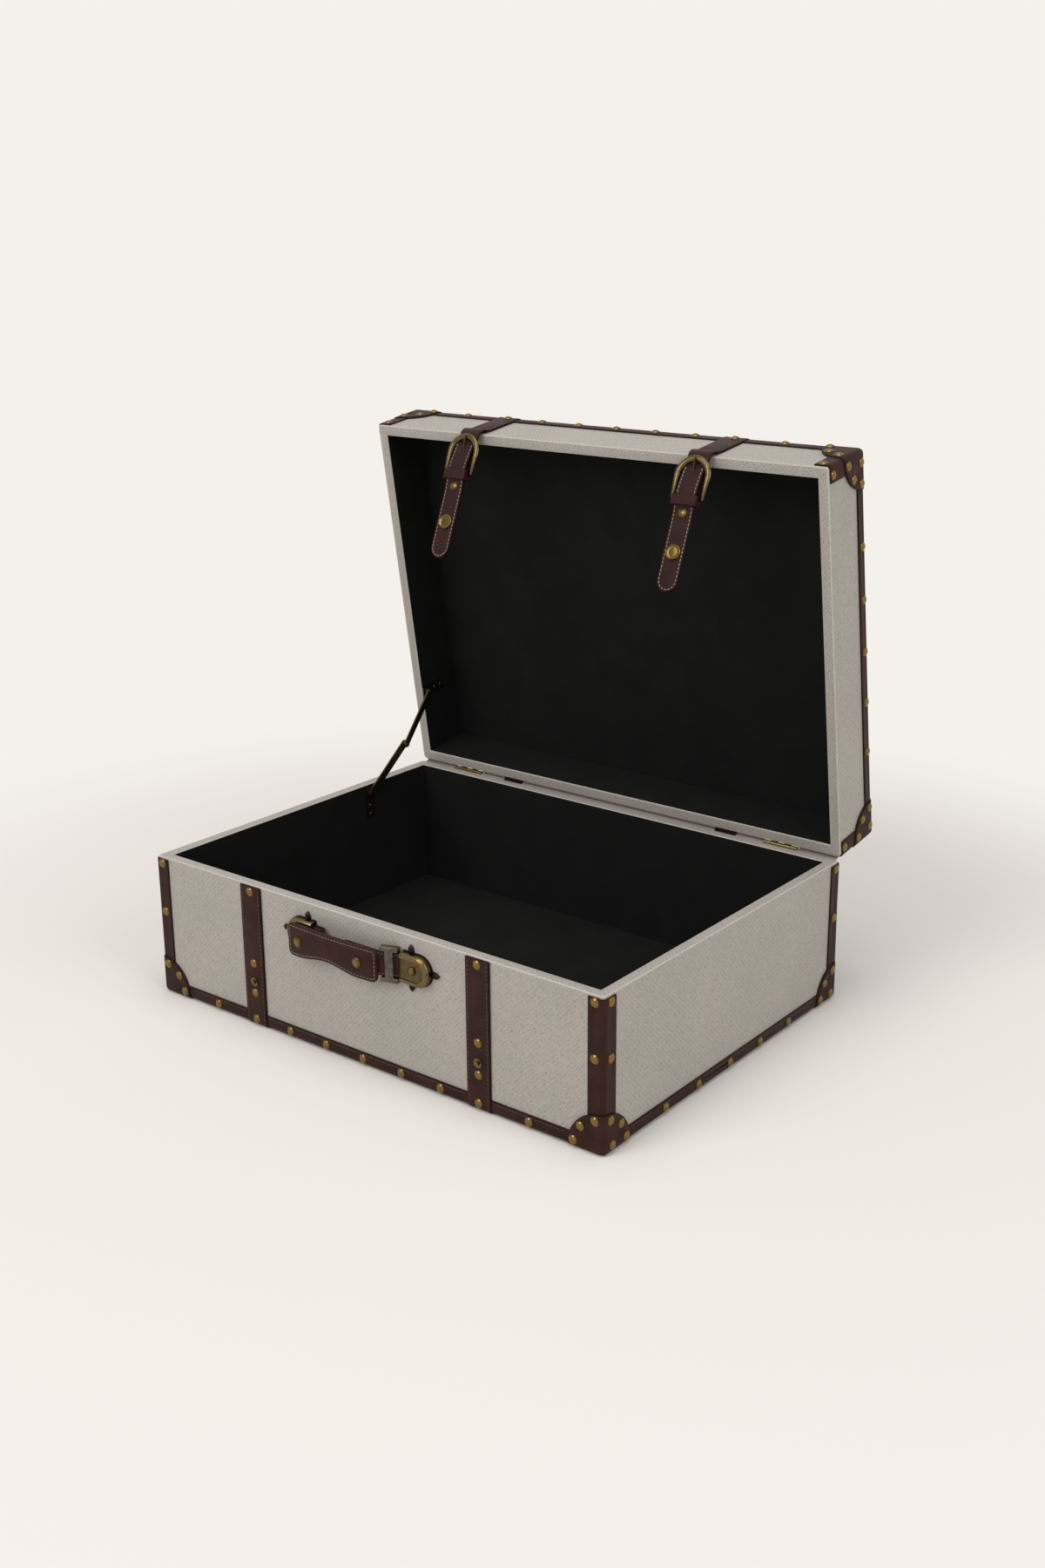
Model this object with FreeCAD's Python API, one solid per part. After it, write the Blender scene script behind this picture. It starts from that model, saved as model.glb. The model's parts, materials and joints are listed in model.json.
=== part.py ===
"""Suitcase-style storage trunk: a covered wooden box with a hinged lid, leather trim and brass fittings.

All sizes are millimetres.  +Z is up, the front faces -Y, and the origin is on the floor under the middle.
Shapes are drawn from the base's underside, and each is raised by the corner caps that the box stands on.
The lid is drawn closed and then swung open about its hinge line, with its straps hanging from its front rim.
"""
import FreeCAD, Part
import math
import os

V = FreeCAD.Vector
X_AXIS = V(1, 0, 0)
Y_AXIS = V(0, 1, 0)
Z_AXIS = V(0, 0, 1)
SIDES = {"left": -1, "right": 1}
SAME = 1e-6

# Box: outer covered size, wall build-up and the lid's place
box_length = 560.0
box_width = 402.0
base_height = 147.1
lid_depth = 64.0
corner_radius = 3.0
panel_t = 9.0
board_t = 6.0
cover_t = 1.0
lining_t = 1.0
rim_gap = 0.4
lid_open_angle = 81.3

# Leather trim glued over the covering
trim_t = 1.6
trim_leg = 12.0
corner_strip_leg = 16.0
corner_strip_drop = 2.2
cap_t = 2.6
cap_radius = 37.0
strap_t = 2.4
strap_width = 27.0
strap_x = 143.5
strap_drop = 1.2
seam_gap = 0.15

# Dome-headed nails
nail_head_radius = 4.2
nail_head_height = 2.2
nail_shank_radius = 0.8
nail_shank_length = 7.0
nail_hole_gap = 0.1
front_nail_pitch = 48.5
front_nail_count = 5
side_nail_pitch = 54.0
side_nail_count = 5
trim_nail_height = 5.2
strip_nail_inset = 8.5
strip_nail_drop = 6.7
strip_low_nail_drop = 59.0
stud_nail_up = 19.5
stud_nail_down = 12.0
back_strap_nail_drop = 74.7
cap_nail_radius = 31.0
cap_nail_angles = (10.0, 42.0, 76.0)
cap_corner_nail = (10.0, 5.6)

# Snap stud on each base strap
stud_height = 45.4
stud_radius = 4.6
stud_flange_t = 0.8
stud_post_radius = 2.2
stud_post_height = 2.2

# Strap end, buckle and tongue, measured with the lid closed: out from the front face, down from the rim
strap_lift_start = 14.0
strap_lift = 3.2
fold_drop = 0.5
fold_gap = 0.3
strap_end_t = 2.0
strap_end_width = 25.0
strap_end_length = 42.0
strap_end_bend_drop = 9.0
strap_end_bend_out = 6.4
strap_end_arch_drop = 18.0
strap_end_arch_out = 6.8
strap_end_tip_out = 10.9
buckle_wire_radius = 1.7
buckle_half_width = 19.0
buckle_foot_half_width = 16.9
buckle_arch_drop = 11.0
buckle_arch_out = 10.4
bar_drop = 49.0
bar_out = 6.6
bar_radius = 1.5
bar_running_gap = 0.05
prong_radius = 1.1
prong_slot_half = 2.4
prong_hole_gap = 0.3
tongue_t = 3.0
tongue_width = 23.5
tongue_end_drop = 141.0
tongue_loop_t = 1.5
keeper_width = 28.5
keeper_height = 10.5
keeper_top_drop = 46.5
keeper_t = 1.4
keeper_back_out = 3.3
keeper_front_out = 11.2
keeper_bar_gap = 0.4
tongue_rivet_drop = 64.0
tongue_rivet_radius = 5.0
tongue_rivet_height = 2.2
tongue_rivet_shank_radius = 1.5
snap_cap_radius = 8.0
snap_cap_height = 2.8
snap_post_radius = 2.0
snap_socket_radius = 5.0
snap_socket_t = 1.8
snap_socket_hole_radius = 2.6
buckle_lean = 28.0
tongue_lean = 22.0

# Carrying handle on the front
handle_drop = 31.2
plate_t = 1.0
plate_margin = 0.8
plate_tip_width = 6.5
plate_tip_up = 23.0
plate_tip_out = 99.0
cap_inner_x = 56.0
cap_outer_x = 90.0
handle_cap_width = 30.0
handle_cap_rise = 8.0
handle_cap_wall = 1.0
handle_cap_edge_radius = 3.5
handle_cap_dish_margin = 5.0
handle_cap_dish_depth = 1.6
cap_rivet_x = 70.0
cap_rivet_radius = 4.4
cap_rivet_height = 2.0
plate_pin_radius = 1.8
plate_pin_height = 1.2
plate_pin_inset = 4.2
tab_t = 2.6
tab_side_gap = 2.0
tab_root_x = 82.0
tab_low_out = 2.5
tab_high_out = 9.8
left_tab_turn_x = 46.0
right_tab_exit_x = 54.0
right_tab_top_x = 33.0
grip_left = -80.0
grip_right = 33.6
grip_height = 33.0
grip_t = 3.5
grip_bow = 2.6
grip_drop = 3.0
grip_corner_radius = 6.0
grip_lobe = 21.0
grip_waist = 5.5
grip_waist_radius = 30.0
grip_seat_gap = 0.2
grip_rivet_left_x = -64.0
grip_rivet_right_x = 12.0
grip_rivet_radius = 5.6
grip_rivet_height = 2.4
grip_rivet_shank_radius = 1.6
grip_rivet_seat = 0.5
slider_length = 18.0
slider_height = 35.0
slider_rail = 4.5
slider_bar_width = 8.5
slider_back_bar_width = 3.0
slider_bar_t = 1.6
slider_gap = 0.2

# Back hinges
hinge_width = 40.0
hinge_offset = 2.9
hinge_knuckles = 5
knuckle_gap = 0.3
barrel_radius = 2.5
hinge_pin_radius = 1.2
hinge_pin_gap = 0.05
leaf_t = 1.2
leaf_height = 24.0
leaf_relief = 0.5
hinge_screw_drop = 14.0
hinge_screw_pitch = 13.0
screw_head_radius = 2.9
screw_head_height = 1.1
screw_shank_radius = 1.1
screw_length = 8.0

# Folding lid stay on the left wall: places are from the back outer face and from the rims
stay_base_back = 104.0
stay_base_drop = 11.7
stay_lid_back = 85.5
stay_lid_rise = 7.0
stay_lower_length = 74.0
stay_lower_angle = 38.7
stay_lower_width = 9.0
stay_upper_width = 7.5
stay_arm_t = 1.6
stay_plate_t = 1.5
stay_plate_width = 12.0
stay_plate_length = 32.0
stay_plate_lip = 6.0
stay_side_gap = 0.3
stay_spacer = 1.7
stay_pin_radius = 1.8
stay_pin_gap = 0.05
stay_head_radius = 3.2
stay_head_height = 0.9
stay_open_gap = 0.4
stay_screw_first = 14.0
stay_screw_pitch = 10.0

# Levels and faces that the sizes above give
floor_z = 0.0
wall_t = cover_t + panel_t + lining_t
lid_rim_z = base_height + rim_gap
lid_face_z = lid_rim_z + lid_depth
front_y = -box_width / 2
back_y = box_width / 2
half_length = box_length / 2
hinge_y = back_y + hinge_offset
hinge_z = base_height + rim_gap / 2
fold_out = strap_lift + strap_t / 2
handle_height = base_height - handle_drop
tab_width = handle_cap_width - 2 * (handle_cap_wall + tab_side_gap)
strap_outer_x = strap_x + strap_width / 2
outer_nail_x = (strap_outer_x + half_length - cap_radius) / 2
hinge_x = (strap_outer_x + half_length - corner_strip_leg) / 2


def block(x0, x1, y0, y1, z0, z1):
    """Plain box between two corners."""
    return Part.makeBox(x1 - x0, y1 - y0, z1 - z0, V(x0, y0, z0))


def rod(start, end, radius):
    """Round bar between two points."""
    axis = end - start
    return Part.makeCylinder(radius, axis.Length, start, axis)


def fused(*shapes):
    """One solid from shapes that meet."""
    whole = shapes[0]
    for shape in shapes[1:]:
        whole = whole.fuse(shape)
    return whole.removeSplitter()


def group(shapes):
    """Separate solids kept together in one node."""
    return Part.makeCompound([solid for shape in shapes for solid in shape.Solids])


def prism(points, push):
    """Straight prism of a closed outline of points, pushed along a vector."""
    return Part.Face(Part.makePolygon(points + points[:1])).extrude(push)


def save(name, shape):
    """Write one node of the assembly, raised by the caps' thickness."""
    raised = shape.copy()
    raised.translate(Z_AXIS * cap_t)
    raised.exportStep("parts/" + name + ".step")


def swung(shape, angle, point):
    """Copy of a shape turned about an axis along X through a point."""
    turned = shape.copy()
    turned.rotate(point, X_AXIS, angle)
    return turned


def opened(shape):
    """Copy of a closed-lid shape with the lid swung open."""
    return swung(shape, -lid_open_angle, V(0, hinge_y, hinge_z))


def button(radius, height, shank_radius, shank_length, place, normal):
    """Domed head on a shank: the head's flat side lies at place, and normal points outwards."""
    crown = V(0, 0, height)
    bulge = math.sqrt(0.5)
    rim = V(radius, 0, 0)
    dome = Part.Arc(crown, V(radius * bulge, 0, height * bulge), rim).toShape()
    corners = [rim, V(shank_radius, 0, 0), V(shank_radius, 0, -shank_length), V(0, 0, -shank_length), crown]
    lines = [Part.makeLine(a, b) for a, b in zip(corners, corners[1:])]
    head = Part.Face(Part.Wire([dome] + lines)).revolve(V(), Z_AXIS, 360)
    head.Placement = FreeCAD.Placement(place, FreeCAD.Rotation(Z_AXIS, normal))
    return head


def shank_hole(radius, length, place, normal):
    """Clearance bore for a shank that goes in at place."""
    return Part.makeCylinder(radius + nail_hole_gap, length + nail_hole_gap, place, normal.negative())


def drilled(shape, holes):
    """Shape with the bores that reach its box cut out."""
    near = [hole for hole in holes if shape.BoundBox.intersect(hole.BoundBox)]
    return shape.cut(near) if near else shape


def at_level(edge, level):
    """Whether an edge lies flat at a level."""
    return max(abs(edge.BoundBox.ZMin - level), abs(edge.BoundBox.ZMax - level)) < SAME


def tray_block(grow, face_z, rim_z, rim_inset=0.0):
    """Rounded block of the box's outer size, grown on every side but its rim."""
    outwards = 1 if face_z > rim_z else -1
    end_z = face_z + outwards * grow
    mouth_z = rim_z + outwards * rim_inset
    low, high = sorted((end_z, mouth_z))
    half_x = half_length + grow
    half_y = box_width / 2 + grow
    plain = block(-half_x, half_x, -half_y, half_y, low, high)
    rounded = [edge for edge in plain.Edges if not at_level(edge, mouth_z)]
    return plain.makeFillet(corner_radius + grow, rounded)


def inner_block(inset, z0, z1):
    """Plain block of the box's outer size less an inset on all four sides."""
    low, high = sorted((z0, z1))
    half_x = half_length - inset
    half_y = box_width / 2 - inset
    return block(-half_x, half_x, -half_y, half_y, low, high)


class Tray:
    """One half of the box, given by its closed face, its rim and the direction from rim to face."""

    def __init__(self, face_z, rim_z, board_name):
        self.face_z = face_z
        self.rim_z = rim_z
        self.board_name = board_name
        self.up = 1 if rim_z > face_z else -1
        self.board_z = face_z + self.up * (cover_t + board_t)
        self.wall_end_z = rim_z - self.up * cover_t

    def from_face(self, distance):
        """Level a distance from the closed face towards the rim."""
        return self.face_z + self.up * distance

    def from_rim(self, distance):
        """Level a distance from the rim towards the closed face."""
        return self.rim_z - self.up * distance

    def covering(self):
        """Vinyl skin over the outside and folded over the rim."""
        outer = tray_block(0, self.face_z, self.rim_z)
        core = tray_block(-cover_t, self.face_z, self.rim_z, cover_t)
        return outer.cut(core).cut(inner_block(wall_t, self.board_z, self.rim_z + self.up))

    def panels(self):
        """Four wall panels and the closed face's board."""
        core = tray_block(-cover_t, self.face_z, self.rim_z, cover_t)
        hollow = inner_block(cover_t + panel_t, self.board_z, self.wall_end_z)
        low, high = sorted((self.board_z, self.wall_end_z))
        walls = core.common(inner_block(0, low, high)).cut(hollow)
        inner_x = half_length - cover_t - panel_t
        inner_y = box_width / 2 - cover_t - panel_t
        zones = {
            "front_panel": block(-half_length, half_length, front_y, -inner_y, low, high),
            "back_panel": block(-half_length, half_length, inner_y, back_y, low, high),
            "left_panel": block(-half_length, -inner_x, -inner_y, inner_y, low, high),
            "right_panel": block(inner_x, half_length, -inner_y, inner_y, low, high),
        }
        panels = {name: walls.common(zone) for name, zone in zones.items()}
        panels[self.board_name] = core.common(inner_block(0, self.face_z, self.board_z))
        return panels

    def lining(self):
        """Thin black lining inside the walls and board."""
        outside = inner_block(cover_t + panel_t, self.board_z, self.wall_end_z)
        return outside.cut(inner_block(wall_t, self.board_z + self.up * lining_t, self.wall_end_z))

    def skin(self, thickness):
        """Layer of a thickness over the whole outside."""
        outer = tray_block(thickness, self.face_z, self.rim_z)
        return outer.cut(tray_block(0, self.face_z, self.rim_z))

    def corner_point(self, x_side, y_side):
        """Outer corner of the closed face."""
        return V(x_side * half_length, y_side * box_width / 2, self.face_z)

    def corner_balls(self, radius):
        """Balls at the four outer corners of the closed face."""
        places = [self.corner_point(a, b) for a in (-1, 1) for b in (-1, 1)]
        return [Part.makeSphere(radius, place) for place in places]

    def corner_caps(self):
        """Leather caps with a round lobe on each of the three faces that meet at a corner."""
        skin = self.skin(cap_t)
        return [skin.common(ball) for ball in self.corner_balls(cap_radius)]

    def corner_strips(self):
        """Upright leather angles on the four corner edges, up to the caps."""
        skin = self.skin(trim_t)
        cleared = skin.cut(self.corner_balls(cap_radius + seam_gap))
        low, high = sorted((self.face_z, self.from_rim(corner_strip_drop)))
        strips = []
        for x_side in (-1, 1):
            for y_side in (-1, 1):
                x_ends = sorted((x_side * (half_length - corner_strip_leg), x_side * (half_length + trim_t)))
                y_ends = sorted((y_side * (back_y - corner_strip_leg), y_side * (back_y + trim_t)))
                strips.append(cleared.common(block(*x_ends, *y_ends, low, high)))
        return strips

    def strap_zone(self, side, margin):
        """Slab that a strap lies in, all round the box."""
        half = strap_width / 2 + margin
        reach = box_width
        low, high = sorted((self.face_z - self.up * lid_depth, self.from_rim(strap_drop)))
        return block(side * strap_x - half, side * strap_x + half, -reach, reach, low, high)

    def edge_trim(self):
        """Leather angles along the closed face's edges, between the caps and the straps."""
        skin = self.skin(trim_t)
        cleared = skin.cut(self.corner_balls(cap_radius + seam_gap))
        cleared = cleared.cut([self.strap_zone(side, seam_gap) for side in SIDES.values()])
        low, high = sorted((self.face_z - self.up * trim_t, self.from_face(trim_leg)))
        reach_x = half_length + trim_t
        reach_y = back_y + trim_t
        bands = [
            block(-reach_x, reach_x, -reach_y, -(back_y - trim_leg), low, high),
            block(-reach_x, reach_x, back_y - trim_leg, reach_y, low, high),
            block(-reach_x, -(half_length - trim_leg), -(back_y - trim_leg), back_y - trim_leg, low, high),
            block(half_length - trim_leg, reach_x, -(back_y - trim_leg), back_y - trim_leg, low, high),
        ]
        return [cleared.common(band) for band in bands]

    def strap(self, side):
        """Leather strap down the front, over the closed face and up the back."""
        return self.skin(strap_t).common(self.strap_zone(side, 0))

    def nail_places(self):
        """Place and outward direction of every nail: on trim, corner strips, caps and straps."""
        inner_half = (front_nail_count - 1) // 2
        side_half = (side_nail_count - 1) // 2
        trim_z = self.from_face(trim_nail_height)
        along_x = [k * front_nail_pitch for k in range(-inner_half, inner_half + 1)]
        along_x += [side * outer_nail_x for side in SIDES.values()]
        along_y = [k * side_nail_pitch for k in range(-side_half, side_half + 1)]
        places = []
        for face in (-1, 1):
            places += [(V(x, face * (back_y + trim_t), trim_z), Y_AXIS * face) for x in along_x]
            places += [(V(face * (half_length + trim_t), y, trim_z), X_AXIS * face) for y in along_y]
            for other in (-1, 1):
                places += self.corner_nails(face, other)
        return places

    def corner_nails(self, x_side, y_side):
        """Nails on the two upright faces of one corner, on its strip and on its cap."""
        strip_levels = [self.from_rim(strip_nail_drop)]
        low_level = self.from_rim(strip_low_nail_drop)
        if abs(low_level - self.face_z) > cap_radius + nail_head_radius:
            strip_levels.append(low_level)
        turns = [math.radians(angle) for angle in cap_nail_angles]
        lobe = [(cap_nail_radius * math.cos(a), cap_nail_radius * math.sin(a)) for a in turns]
        places = []
        for level in strip_levels:
            at_x = x_side * (half_length - strip_nail_inset)
            at_y = y_side * (back_y - strip_nail_inset)
            places.append((V(at_x, y_side * (back_y + trim_t), level), Y_AXIS * y_side))
            places.append((V(x_side * (half_length + trim_t), at_y, level), X_AXIS * x_side))
        for along, up in lobe:
            at_x = x_side * (half_length - along)
            places.append((V(at_x, y_side * (back_y + cap_t), self.from_face(up)), Y_AXIS * y_side))
        for along, up in lobe + [cap_corner_nail]:
            at_y = y_side * (back_y - along)
            places.append((V(x_side * (half_length + cap_t), at_y, self.from_face(up)), X_AXIS * x_side))
        return places


def nails(places):
    """Dome nails at places."""
    sizes = (nail_head_radius, nail_head_height, nail_shank_radius, nail_shank_length)
    return [button(*sizes, place, normal) for place, normal in places]


def nail_holes(places):
    """Bores for the nails at places."""
    return [shank_hole(nail_shank_radius, nail_shank_length, place, normal) for place, normal in places]


def screws(places):
    """Round-head screws at places."""
    sizes = (screw_head_radius, screw_head_height, screw_shank_radius, screw_length)
    return [button(*sizes, place, normal) for place, normal in places]


def screw_holes(places):
    """Bores for the screws at places."""
    return [shank_hole(screw_shank_radius, screw_length, place, normal) for place, normal in places]


def strap_nail_places(front_levels, back_levels):
    """Nails down the front and back of both straps of a tray."""
    places = []
    for side in SIDES.values():
        x = side * strap_x
        places += [(V(x, front_y - strap_t, level), Y_AXIS.negative()) for level in front_levels]
        places += [(V(x, back_y + strap_t, level), Y_AXIS) for level in back_levels]
    return places


def hinge_axis_point(x):
    """Point of the lid's hinge line."""
    return V(x, hinge_y, hinge_z)


def hinge_screw_places(side, up):
    """Two screws through one hinge leaf; up is 1 for the lid's leaf and -1 for the base's."""
    level = hinge_z + up * hinge_screw_drop
    ends = (-hinge_screw_pitch, hinge_screw_pitch)
    return [(V(side * hinge_x + end, back_y + leaf_t, level), Y_AXIS) for end in ends]


def hinge_leaf(side, up, holes):
    """Flat leaf with every second knuckle of the barrel; up is 1 for the lid's leaf and -1 for the base's."""
    start = side * hinge_x - hinge_width / 2
    pitch = hinge_width / hinge_knuckles
    near = hinge_z + up * (barrel_radius + leaf_relief)
    far = hinge_z + up * leaf_height
    low, high = sorted((near, far))
    leaf = block(start, start + hinge_width, back_y, back_y + leaf_t, low, high)
    neck_y = hinge_y - barrel_radius
    first = 0 if up < 0 else 1
    ends = (hinge_axis_point(start), hinge_axis_point(start + hinge_width))
    bore = rod(*ends, hinge_pin_radius + hinge_pin_gap)
    for index in range(first, hinge_knuckles, 2):
        x0 = start + index * pitch + knuckle_gap / 2
        x1 = x0 + pitch - knuckle_gap
        knuckle = rod(hinge_axis_point(x0), hinge_axis_point(x1), barrel_radius)
        neck_low, neck_high = sorted((near + up * leaf_t, hinge_z))
        neck = block(x0, x1, neck_y, neck_y + leaf_t, neck_low, neck_high)
        leaf = leaf.fuse([knuckle, neck])
    return drilled(leaf.cut(bore).removeSplitter(), holes)


def hinge_pin(side):
    """Pin through one hinge's knuckles."""
    start = side * hinge_x - hinge_width / 2
    return rod(hinge_axis_point(start), hinge_axis_point(start + hinge_width), hinge_pin_radius)


def front_point(x, out, drop):
    """Point in front of the closed box: out from the front face, down from the lid's rim."""
    return V(x, front_y - out, lid_rim_z - drop)


def ribbon(path, thickness, centre_x, width):
    """Flat strip along a path of (out, drop) points in front of the closed box."""
    middle = [front_point(centre_x - width / 2, out, drop) for out, drop in path]
    runs = [(b - a).normalize() for a, b in zip(middle, middle[1:])]
    across = []
    for before, after in zip(runs[:1] + runs, runs + runs[-1:]):
        bisector = (before + after).normalize()
        normal = X_AXIS.cross(bisector)
        across.append(normal * (thickness / 2 / bisector.dot(after)))
    outline = [m + n for m, n in zip(middle, across)]
    outline += [m - n for m, n in reversed(list(zip(middle, across)))]
    return prism(outline, X_AXIS * width)


class FrontStrap:
    """Strap end, buckle and tongue of one side, drawn with the lid closed and the strap straight down."""

    def __init__(self, side):
        self.x = side * strap_x
        self.fold = front_point(self.x, fold_out, fold_drop)
        self.bar = front_point(self.x, bar_out, bar_drop)

    def lid_part(self):
        """Last stretch of the lid's strap, lifted off the rim to clear the base's nails."""
        fold_end = fold_drop - strap_t / 2 - fold_gap
        path = [(strap_t / 2, -strap_lift_start), (fold_out, fold_end)]
        return ribbon(path, strap_t, self.x, strap_width)

    def strap_end(self):
        """Free end of the strap: a round nose on the fold line, under the arch and over the bar."""
        path = [
            (fold_out, fold_drop),
            (strap_end_bend_out, strap_end_bend_drop),
            (strap_end_arch_out, strap_end_arch_drop),
            (strap_end_tip_out, strap_end_length),
        ]
        half = X_AXIS * (strap_end_width / 2)
        nose = rod(self.fold - half, self.fold + half, strap_end_t / 2)
        strip = fused(ribbon(path, strap_end_t, self.x, strap_end_width), nose)
        return strip.cut(self.prong_body(prong_radius + prong_hole_gap))

    def buckle_frame(self):
        """Horseshoe of round wire with a straight bar across its feet."""
        rise = bar_drop - buckle_arch_drop
        lean_out = buckle_arch_out - bar_out
        centre = self.bar + Z_AXIS * (math.hypot(rise, lean_out) - buckle_half_width)
        shoulder = X_AXIS * buckle_half_width
        foot = X_AXIS * buckle_foot_half_width
        reach = buckle_half_width + 2 * buckle_wire_radius
        upper = block(
            self.x - reach, self.x + reach,
            centre.y - reach, centre.y + reach,
            centre.z, centre.z + reach,
        )
        frame = Part.makeTorus(buckle_half_width, buckle_wire_radius, centre, Y_AXIS).common(upper)
        for way in (-1, 1):
            top = centre + shoulder * way
            bottom = self.bar + foot * way
            leg = rod(top, bottom, buckle_wire_radius)
            frame = frame.fuse([leg, Part.makeSphere(buckle_wire_radius, bottom)])
            frame = frame.fuse(Part.makeSphere(buckle_wire_radius, top))
        frame = frame.fuse(rod(self.bar - foot, self.bar + foot, bar_radius)).removeSplitter()
        return swung(frame, math.degrees(math.atan2(lean_out, rise)), self.bar)

    def prong_body(self, radius):
        """Straight pin from the bar to the top of the arch."""
        rest_out = buckle_arch_out + buckle_wire_radius + prong_radius
        tip = front_point(self.x, rest_out, buckle_arch_drop - buckle_wire_radius)
        return rod(self.bar, tip, radius)

    def prong(self):
        """Buckle prong, resting on the bar and on the arch."""
        return self.prong_body(prong_radius).cut(self.buckle_frame())

    def tongue(self):
        """Hanging leather tongue, looped round the bar and round at its tip."""
        half = tongue_width / 2
        inner = bar_radius + bar_running_gap
        outer = inner + tongue_loop_t
        side = X_AXIS * half
        tip_centre = front_point(self.x, bar_out - tongue_t / 2, tongue_end_drop - half)
        top = lid_rim_z - bar_drop
        back = front_y - bar_out + tongue_t / 2
        strip = block(self.x - half, self.x + half, back - tongue_t, back, tip_centre.z, top)
        tip = Part.makeCylinder(half, tongue_t, tip_centre, Y_AXIS.negative())
        loop = rod(self.bar - side, self.bar + side, outer)
        slot = block(
            self.x - prong_slot_half, self.x + prong_slot_half,
            self.bar.y - 2 * outer, self.bar.y + 2 * outer,
            top - inner, top + 2 * outer,
        )
        reach = X_AXIS * tongue_width
        whole = fused(strip, tip, loop).cut(rod(self.bar - reach, self.bar + reach, inner)).cut(slot)
        bores = [(tongue_rivet_drop, tongue_rivet_shank_radius), (self.snap_drop(), snap_post_radius)]
        return whole.cut([self.bore(drop, radius) for drop, radius in bores])

    def snap_drop(self):
        """Depth below the rim of the snap that meets the base's stud."""
        return lid_rim_z - stud_height

    def bore(self, drop, radius):
        """Clearance bore through the tongue."""
        start = front_point(self.x, bar_out - tongue_t, drop)
        return Part.makeCylinder(radius + nail_hole_gap, 2 * tongue_t, start, Y_AXIS.negative())

    def keeper(self):
        """Leather band round the top of the tongue."""
        def sleeve(margin):
            half = keeper_width / 2 - keeper_t + margin
            bottom = lid_rim_z - keeper_top_drop - keeper_height
            return block(
                self.x - half, self.x + half,
                front_y - keeper_front_out - margin, front_y - keeper_back_out + margin,
                bottom, bottom + keeper_height,
            )
        side = X_AXIS * keeper_width
        bar_bore = rod(self.bar - side, self.bar + side, bar_radius + keeper_bar_gap)
        return sleeve(keeper_t).cut([sleeve(0), bar_bore])

    def tongue_rivet(self):
        """Small rivet that closes the tongue's loop."""
        place = front_point(self.x, bar_out + tongue_t / 2, tongue_rivet_drop)
        sizes = (tongue_rivet_radius, tongue_rivet_height, tongue_rivet_shank_radius, tongue_t)
        return button(*sizes, place, Y_AXIS.negative())

    def snap_cap(self):
        """Domed snap with its post and the socket behind the tongue."""
        place = front_point(self.x, bar_out + tongue_t / 2, self.snap_drop())
        cap = button(snap_cap_radius, snap_cap_height, snap_post_radius, tongue_t, place, Y_AXIS.negative())
        seat = front_point(self.x, bar_out - tongue_t / 2, self.snap_drop())
        socket = Part.makeCylinder(snap_socket_radius, snap_socket_t, seat, Y_AXIS)
        mouth = seat + Y_AXIS * (snap_socket_t / 2)
        hole = Part.makeCylinder(snap_socket_hole_radius, snap_socket_t, mouth, Y_AXIS)
        return fused(cap, socket).cut(hole)

    def hung(self, shape):
        """Shape of the buckle, swung to its rest lean with the lid open."""
        return opened(swung(shape, lid_open_angle - buckle_lean, self.fold))

    def hung_tongue(self, shape):
        """Shape of the tongue, swung to its rest lean with the lid open."""
        return self.hung(swung(shape, buckle_lean - tongue_lean, self.bar))


def snap_stud(side):
    """Stud on a base strap that the tongue's socket presses onto."""
    seat = V(side * strap_x, front_y - strap_t, stud_height)
    flange = Part.makeCylinder(stud_radius, stud_flange_t, seat, Y_AXIS.negative())
    post = Part.makeCylinder(stud_post_radius, stud_flange_t + stud_post_height, seat, Y_AXIS.negative())
    return fused(flange, post)


def front_prism(points, out0, out1):
    """Plate on the front face from an outline of (x, height) points."""
    outline = [V(x, front_y - out0, z) for x, z in points]
    return prism(outline, V(0, out0 - out1, 0))


def d_plate(side, margin, out0, out1, open_by=0.0):
    """D-shaped plate of a handle end, round on its outer side."""
    radius = handle_cap_width / 2 + margin
    inner_x = cap_inner_x - margin - open_by
    centre_x = cap_outer_x - handle_cap_width / 2

    def corner(x, rise):
        return V(side * x, front_y - out0, handle_height + rise)

    low, tip, high = corner(centre_x, -radius), corner(centre_x + radius, 0), corner(centre_x, radius)
    mouth_high, mouth_low = corner(inner_x, radius), corner(inner_x, -radius)
    turns = [high, mouth_high, mouth_low, low]
    straight = [Part.makeLine(a, b) for a, b in zip(turns, turns[1:])]
    outline = Part.Wire([Part.Arc(low, tip, high).toShape()] + straight)
    return Part.Face(outline).extrude(V(0, out0 - out1, 0))


def plate_pins(side):
    """Places of the three small pins through an end plate's tips."""
    tip_x = side * (cap_inner_x + cap_outer_x - handle_cap_width / 2) / 2
    out = front_y - plate_t
    return [
        (V(tip_x, out, handle_height + plate_tip_up - plate_pin_inset), Y_AXIS.negative()),
        (V(tip_x, out, handle_height - plate_tip_up + plate_pin_inset), Y_AXIS.negative()),
        (V(side * (plate_tip_out - plate_pin_inset), out, handle_height), Y_AXIS.negative()),
    ]


def end_plate(side):
    """Flat brass plate with three pointed tips."""
    half = plate_tip_width / 2
    shoulder = plate_tip_up - plate_tip_width
    tip_x = side * (cap_inner_x + cap_outer_x - handle_cap_width / 2) / 2
    plate = d_plate(side, plate_margin, 0, plate_t)
    for way in (-1, 1):
        neck = way * shoulder
        tip = [(-half, 0), (half, 0), (half, neck), (0, way * plate_tip_up), (-half, neck)]
        plate = plate.fuse(front_prism([(tip_x + x, handle_height + z) for x, z in tip], 0, plate_t))
    root = cap_outer_x - half
    reach = plate_tip_out - plate_tip_width
    tip = [(root, -half), (reach, -half), (plate_tip_out, 0), (reach, half), (root, half)]
    plate = plate.fuse(front_prism([(side * x, handle_height + z) for x, z in tip], 0, plate_t))
    return plate.removeSplitter()


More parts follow.
